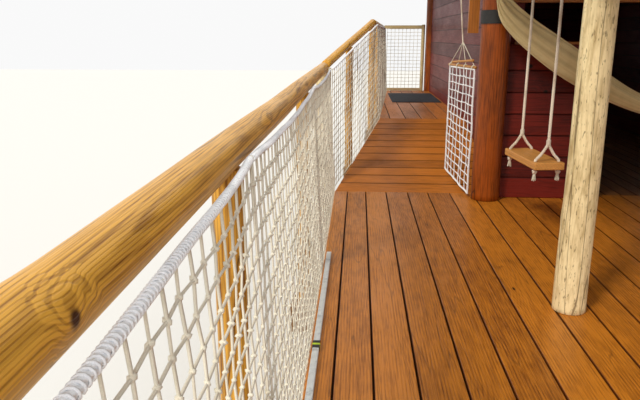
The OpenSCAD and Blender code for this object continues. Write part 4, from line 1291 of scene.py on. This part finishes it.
class HOUSE_OT_roof(bpy.types.Operator):
    """Lay the underboards, the ridge boards and the rows of shingles on both slopes"""

    bl_idname = "house.roof"
    bl_label = "Roof"

    def execute(self, context):
        for hand, side in (("left", 1), ("right", -1)):
            self.cover(context.scene.house_sizes, hand, side)
        return {"FINISHED"}

    def cover(self, sizes, hand, side):
        """Covers one slope; side is 1 where it rises to the right."""
        fin, node = finishes(), "roof_" + hand
        chance = random.Random(sizes.seed + 90 + side)
        low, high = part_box(node)
        eaves_x = low.x if side > 0 else high.x
        reach = (at(RIDGE_X, 0, 0).x - eaves_x) * side / math.cos(ROOF_PITCH)
        down = Vector((math.cos(ROOF_PITCH) * side, 0.0, math.sin(ROOF_PITCH)))
        out = Vector((-math.sin(ROOF_PITCH) * side, 0.0, math.cos(ROOF_PITCH)))

        def spot(y, along, lift):
            """A place on the slope, from its eaves up and off its underside."""
            return Vector((eaves_x, y, low.z)) + down * along + out * lift

        def lay(shape, y0, y1, a, b, under, over):
            """A board between two plan lines, two places up the slope and two lifts."""
            ends = ((a, under), (b, under), (b, over), (a, over))
            corners = [spot(y, *end) for y in (y0, y1) for end in ends]
            shift = chance.uniform(-9, 9)
            grain = [Vector((p.x + shift, p.z, p.y)) for p in corners]
            shape.add(corners, BLOCK if side > 0 else [face[::-1] for face in BLOCK], grain, chance.random())

        boards, strips = Shape(), 12
        for k in range(strips):
            a, b = reach * k / strips + (0.002 if k else 0.012), reach * (k + 1) / strips - 0.002
            lay(boards, low.y + 0.01, high.y - 0.01, a, b, 0.0005, 0.016)
        boards.place("roof_underboards_" + hand, fin.board, "roof", node)
        ridge, pieces = Shape(), 5
        for k in range(pieces):
            y0, y1 = mix(low.y, high.y, k / pieces) + 0.002, mix(low.y, high.y, (k + 1) / pieces) - 0.002
            lay(ridge, y0, y1, reach - 0.11, reach, 0.017, 0.0345)
        ridge.place("ridge_boards_" + hand, fin.board, "roof")

        width, thick, points = 0.16, 0.040, []
        lift = thick * math.cos(ROOF_PITCH) * 0.66
        for k in range(int(reach / sizes.shingle) + 1):
            middle = min(k * sizes.shingle + 0.168, reach - 0.165)
            for j in range(int((high.y - low.y) / width) + 1):
                y = low.y + 0.012 + width * 0.5 + j * width + (0.5 * width if k % 2 else 0.0)
                if y <= high.y - width * 0.5 - 0.01:
                    points.append(spot(y, middle, lift))
        values = {
            "Width": width, "Length": 0.30, "Thickness": 0.006, "Slope": ROOF_PITCH * side, "Lift": -0.03 * side,
            "Seed": sizes.seed, "Finish": fin.shingle,
        }
        grown("shingles_" + hand, shingle_tree(), points, [], values, "roof")


# Swing

SWING_X, SWING_Y, SWING_TURN = 1370.0, 4925.0, math.radians(6.4)
HANG_Z, SPLIT_Z, SEAT_LOW, SEAT_TOP = 4662.0, 3122.0, 2950.0, 3005.0
ROPE_Y, LEG_X = 266.5, 87.5


def swing_at(x, y, z):
    """A place on the swing, in millimetres in its own directions."""
    c, s = math.cos(SWING_TURN), math.sin(SWING_TURN)
    return at(SWING_X + c * x - s * y, SWING_Y + s * x + c * y, z)


def curve_between(points, count):
    """A smooth line through points."""
    line = []
    padded = [points[0] * 2 - points[1], *points, points[-1] * 2 - points[-2]]
    for k in range(1, len(padded) - 2):
        a, b, c, d = padded[k - 1 : k + 3]
        square, cube = 2 * a - 5 * b + 4 * c - d, 3 * b - a - 3 * c + d
        for t in [n / count for n in range(count)]:
            line.append(0.5 * (2 * b + (c - a) * t + square * t**2 + cube * t**3))
    return line + [points[-1]]


class HOUSE_OT_swing(bpy.types.Operator):
    """Hang the pine seat on its forked ropes, with their seizings and the tufted knots under it"""

    bl_idname = "house.swing"
    bl_label = "Swing"

    def execute(self, context):
        fin = finishes()
        chance = random.Random(context.scene.house_sizes.seed + 110)
        seat = Shape(chance)
        middle, half = swing_at(0, 0, (SEAT_LOW + SEAT_TOP) / 2), Vector((0.1125, 0.325, 0.0275))
        seat.plank(middle - half, middle + half, "Y", 0.007, Matrix.Rotation(SWING_TURN, 4, "Z"))
        seat.place("pine_seat", fin.seat, "seat", "swing_seat", body="swing")

        ropes, knots, seizings, tufts = Lines(), Lines(), Lines(), Lines()
        for y in (-ROPE_Y, ROPE_Y):
            pin = [math.radians(200 + 320 * k / 20) for k in range(20, -1, -1)]
            ring = [swing_at(15.0 * math.sin(a), y, HANG_Z + 15.0 * math.cos(a)) for a in pin]
            ropes.lay(ring + [swing_at(0, y, HANG_Z - 60)])
            ropes.lay([swing_at(0, y, HANG_Z - 24), swing_at(2, y, 3900), swing_at(0, y, SPLIT_Z)])
            for z0, z1, r in ((SPLIT_Z + 4, SPLIT_Z + 44, 14.5), (HANG_Z - 62, HANG_Z - 30, 13.0)):
                turns = 7
                seizings.lay([
                    swing_at(r * math.cos(a), y + r * math.sin(a), mix(z0, z1, a / math.tau / turns))
                    for a in [math.tau * k / 14 for k in range(turns * 14 + 1)]
                ])
            for s in (-1, 1):
                x = s * LEG_X
                ropes.lay(curve_between([
                    swing_at(0, y, SPLIT_Z + 40), swing_at(s * 8, y, SPLIT_Z), swing_at(s * 50, y, SPLIT_Z - 67),
                    *(swing_at(x, y, z) for z in (SEAT_TOP + 6, SEAT_LOW, SEAT_LOW - 14)),
                ], 6))
                loop = []
                for a in [math.tau * k / 60 * 2.0 for k in range(61)]:
                    r, z = 9.0 + 4.5 * math.cos(1.5 * a), SEAT_LOW - 21 + 8.0 * math.sin(1.5 * a)
                    loop.append(swing_at(x + r * math.cos(a), y + r * math.sin(a), z))
                knots.lay(loop)
                for a in [math.tau * k / 26 * 1.9 for k in range(26)]:
                    r = mix(7.0, 17.0, 0.4 + 0.6 * chance.random())
                    top = swing_at(x + 6 * math.sin(a), y + 6 * math.cos(a), SEAT_LOW - 30)
                    low = swing_at(x + r * math.sin(a), y + r * math.cos(a), SEAT_LOW - chance.uniform(74, 92))
                    belly = (top + low) / 2 + (low - top).cross(Vector((0, 0, 1))) * 0.25
                    tufts.lay([top, belly, low])
        laid("laid_swing_ropes", ropes, fin.rope, SWING_LAY, "swing_ropes", body="swing")
        laid("swing_knots", knots, fin.rope, SWING_KNOT_LAY, body="swing")
        tied("swing_seizings", seizings, fin.rope, 0.0026, 0.0, 5, 1, body="swing")
        tied("swing_tufts", tufts, fin.net, 0.0014, 0.0, 4, 1, body="swing")
        return {"FINISHED"}


# Hammock

# Shares along the hammock's half span, from its gathered end: place, fall, height and fullness
HAMMOCK = (
    (0.000, 0.000, 70, 50), (0.022, 0.135, 240, 84), (0.080, 0.264, 282, 100), (0.182, 0.405, 318, 120),
    (0.298, 0.535, 344, 135), (0.400, 0.640, 330, 145), (0.562, 0.805, 238, 150), (0.718, 0.920, 180, 160),
    (1.000, 1.000, 172, 170),
)
HALF_SPAN = 1810.0


def hammock_line(k):
    """Fall, height and fullness at a share of the half span, on smooth lines through the stations."""
    last = len(HAMMOCK) - 2
    n = next((n for n in range(last) if k <= HAMMOCK[n + 1][0]), last)
    a, b = HAMMOCK[n], HAMMOCK[n + 1]
    before = HAMMOCK[n - 1] if n else a
    span = b[0] - a[0]
    t = (k - a[0]) / span
    got = []
    for i in (1, 2, 3):
        m0 = (b[i] - before[i]) / (b[0] - before[0]) * span
        m1 = (HAMMOCK[n + 2][i] - a[i]) / (HAMMOCK[n + 2][0] - a[0]) * span if n < last else 0.0
        got.append(
            (2 * t**3 - 3 * t**2 + 1) * a[i] + (t**3 - 2 * t**2 + t) * m0
            + (-2 * t**3 + 3 * t**2) * b[i] + (t**3 - t**2) * m1
        )
    return got


def hammock_spot(f, share):
    """A place on the cloth: f from -1 to 1 along the span, share from 0 at one hem to 1 at the other."""
    k = 1.0 - abs(f)
    fall, height, full = hammock_line(k)
    z = DECK + mix(1950.0, 850.0, fall)
    y = mix(5705.0, 5600.0, min(1.0, 3 * k))
    start = mix(0.30, 0.62, min(1.0, k * 3.0))
    a = mix(start, math.tau - start * 1.25, share)
    folds = 15.0 * math.exp(-k * 4.0) + 5.0
    crease = math.cos(a * 11.0 + 3.0 * noise.noise(Vector((f * 1.7, 0.0, 3.0))))
    crease += 0.8 * math.cos(a * 5.0 + 1.7 + 4.0 * noise.noise(Vector((0.0, f * 2.1, 5.0))))
    slack = noise.noise(Vector((f * 4.0, a * 1.1, 8.0))) * 7.0
    inward = folds * (0.55 + 0.45 * crease) + 2.0 + slack * min(1.0, k * 4.0) * 0.6
    inward = min(inward, full * 0.35)
    x = RIDGE_X + f * HALF_SPAN
    return at(x, y - (full / 2 - inward) * math.sin(a), z + (height / 2 - inward) * math.cos(a))


class HOUSE_OT_hammock(bpy.types.Operator):
    """Hang the canvas hammock with its hems, on ropes round the dark posts"""

    bl_idname = "house.hammock"
    bl_label = "Hammock"

    def execute(self, context):
        fin = finishes()
        rows, columns, width, run = 220, 66, 0.5, 4.3
        points = []
        for f in [mix(-1.0, 1.0, i / rows) for i in range(rows + 1)]:
            f = math.copysign(1.0 - (1.0 - abs(f)) ** 1.12, f)
            points += [hammock_spot(f, j / columns) for j in range(columns + 1)]
        starts = [i * (columns + 1) + j for i in range(rows) for j in range(columns)]
        mesh = bpy.data.meshes.new("hammock_cloth")
        mesh.from_pydata(points, [], [(a, a + 1, a + columns + 2, a + columns + 1) for a in starts])
        mesh.polygons.foreach_set("use_smooth", [True] * len(mesh.polygons))
        layer = mesh.uv_layers.new(name="cloth")
        for loop in mesh.loops:
            i, j = divmod(loop.vertex_index, columns + 1)
            layer.data[loop.index].uv = (j / columns * width, i / rows * run)
        cloth = piece("hammock_cloth", mesh, fin.cloth, "cloth", "hammock")
        thick = cloth.modifiers.new("Cloth thickness", "SOLIDIFY")
        thick.thickness = 0.0016
        thick.offset = 0.0

        hems = Lines(*([hammock_spot(mix(-0.995, 0.995, k / 120), share) for k in range(121)] for share in (0, 1)))
        hem = laid("hammock_hems", hems, fin.cloth, HEM_LAY, slot="cloth")
        ropes, post_y, radius, turns = Lines(), 5900, 146.0, 3
        for sign in (-1, 1):
            x, tie = RIDGE_X + sign * 1740.0, RIDGE_X + sign * HALF_SPAN
            line = [at(tie, 5722, DECK + 1955), at(tie, 5748, DECK + 1972), at(mix(tie, x, 0.5), 5762, DECK + 1974)]
            for k in range(85):
                a = -math.pi / 2 + math.tau * turns * k / 84
                z = DECK + 1968 + 44.0 * k / 84
                line.append(at(x + radius * math.cos(a), post_y + radius * math.sin(a), z))
            ropes.lay(line)
        laid("hammock_ropes", ropes, fin.rope, HAMMOCK_LAY, "hammock_cords")
        return {"FINISHED"}


# Side net

NET_NEAR, NET_FAR, NET_TOP = (1062, 5960), (930, 6610), DECK + 1225.0


class HOUSE_OT_side_net(bpy.types.Operator):
    """Hang the square white net by the dark post on its two sticks and cords"""

    bl_idname = "house.side_net"
    bl_label = "Side net"

    def execute(self, context):
        fin = finishes()
        chance = random.Random(context.scene.house_sizes.seed + 130)
        spot = patch(
            at(*NET_NEAR, DECK + 35), at(*NET_FAR, DECK + 150), at(*NET_NEAR, NET_TOP - 18),
            at(*NET_FAR, NET_TOP - 18), 0.0, 0.012,
        )
        net = Lines()
        net.weave(spot, 7, 14, chance, 0.005)
        tied("side_knotted_net", net, fin.white_rope, 0.0055, 0.0120, 5, 3, "side_net")
        sides = [[spot(s, k / 20) for k in range(21)] for s in (0, 1)]
        sides += [[spot(k / 12, t) for k in range(13)] for t in (0, 1)]
        laid("side_net_edge_rope", Lines(*sides), fin.white_rope, SIDE_EDGE_LAY)

        near, far = at(*NET_NEAR, NET_TOP), at(*NET_FAR, NET_TOP)
        way = (far - near).normalized()
        sticks = [
            (near - way * 0.032, far + way * 0.032, 0.014),
            (at(1050, 5985, NET_TOP + 62), at(944, 6590, NET_TOP + 26), 0.012),
        ]
        raise_logs(
            "spreader_sticks", fin.seat, "seat", "side_net_sticks", chance, sticks, rough=0.06, sides=16, pace=0.04
        )
        apex, hook, radius = at(990, 6250, NET_TOP + 227), at(905, 6250, 4690), 0.0175
        bridle, side = Lines(), Vector((-way.y, way.x, 0))
        for t in (0.04, 0.35, 0.65, 0.96):
            tie = at(mix(NET_NEAR[0], NET_FAR[0], t), mix(NET_NEAR[1], NET_FAR[1], t), NET_TOP)
            line = []
            for k in range(29):
                a = math.tau * 2 * k / 28
                round_stick = side * radius * math.cos(a) + Vector((0, 0, radius * math.sin(a)))
                line.append(tie + way * (0.006 * (k / 14 - 1)) + round_stick)
            top = tie + Vector((0, 0, 0.024))
            bridle.lay(line + [top.lerp(apex, k / 8) for k in range(9)])
        laid("side_net_bridle", bridle, fin.net, BRIDLE_LAY, "side_net_cords")
        hanging = Lines([apex + Vector((0, 0, -0.02)), apex.lerp(hook, 0.5), hook])
        laid("side_net_hanging_rope", hanging, fin.rope, HANGING_LAY)
        return {"FINISHED"}


# Panel and run

OPERATORS = (
    HOUSE_OT_stage, HOUSE_OT_floors, HOUSE_OT_mat_and_strip, HOUSE_OT_rails, HOUSE_OT_nets, HOUSE_OT_posts,
    HOUSE_OT_walls, HOUSE_OT_windows, HOUSE_OT_timber, HOUSE_OT_roof, HOUSE_OT_swing, HOUSE_OT_hammock,
    HOUSE_OT_side_net,
)


class HOUSE_PT_panel(bpy.types.Panel):
    """Lists the steps that dress the house, with its sizes and colours"""

    bl_idname = "HOUSE_PT_panel"
    bl_label = "Tree house"
    bl_space_type = "VIEW_3D"
    bl_region_type = "UI"
    bl_category = "Tree house"

    def draw(self, context):
        column = self.layout.column(align=True)
        for step in OPERATORS:
            column.operator(step.bl_idname)
        for group in (context.scene.house_sizes, context.scene.house_colours):
            box = self.layout.box()
            for key in group.__annotations__:
                box.prop(group, key)


CLASSES = (HouseSizes, HouseColours, *OPERATORS, HOUSE_PT_panel)


def register():
    for item in CLASSES:
        bpy.utils.register_class(item)
    bpy.types.Scene.house_sizes = PointerProperty(type=HouseSizes)
    bpy.types.Scene.house_colours = PointerProperty(type=HouseColours)


def unregister():
    del bpy.types.Scene.house_colours
    del bpy.types.Scene.house_sizes
    for item in reversed(CLASSES):
        bpy.utils.unregister_class(item)


def main():
    register()
    for step in OPERATORS:
        getattr(bpy.ops.house, step.bl_idname.split(".")[1])()


if __name__ == "__main__":
    main()
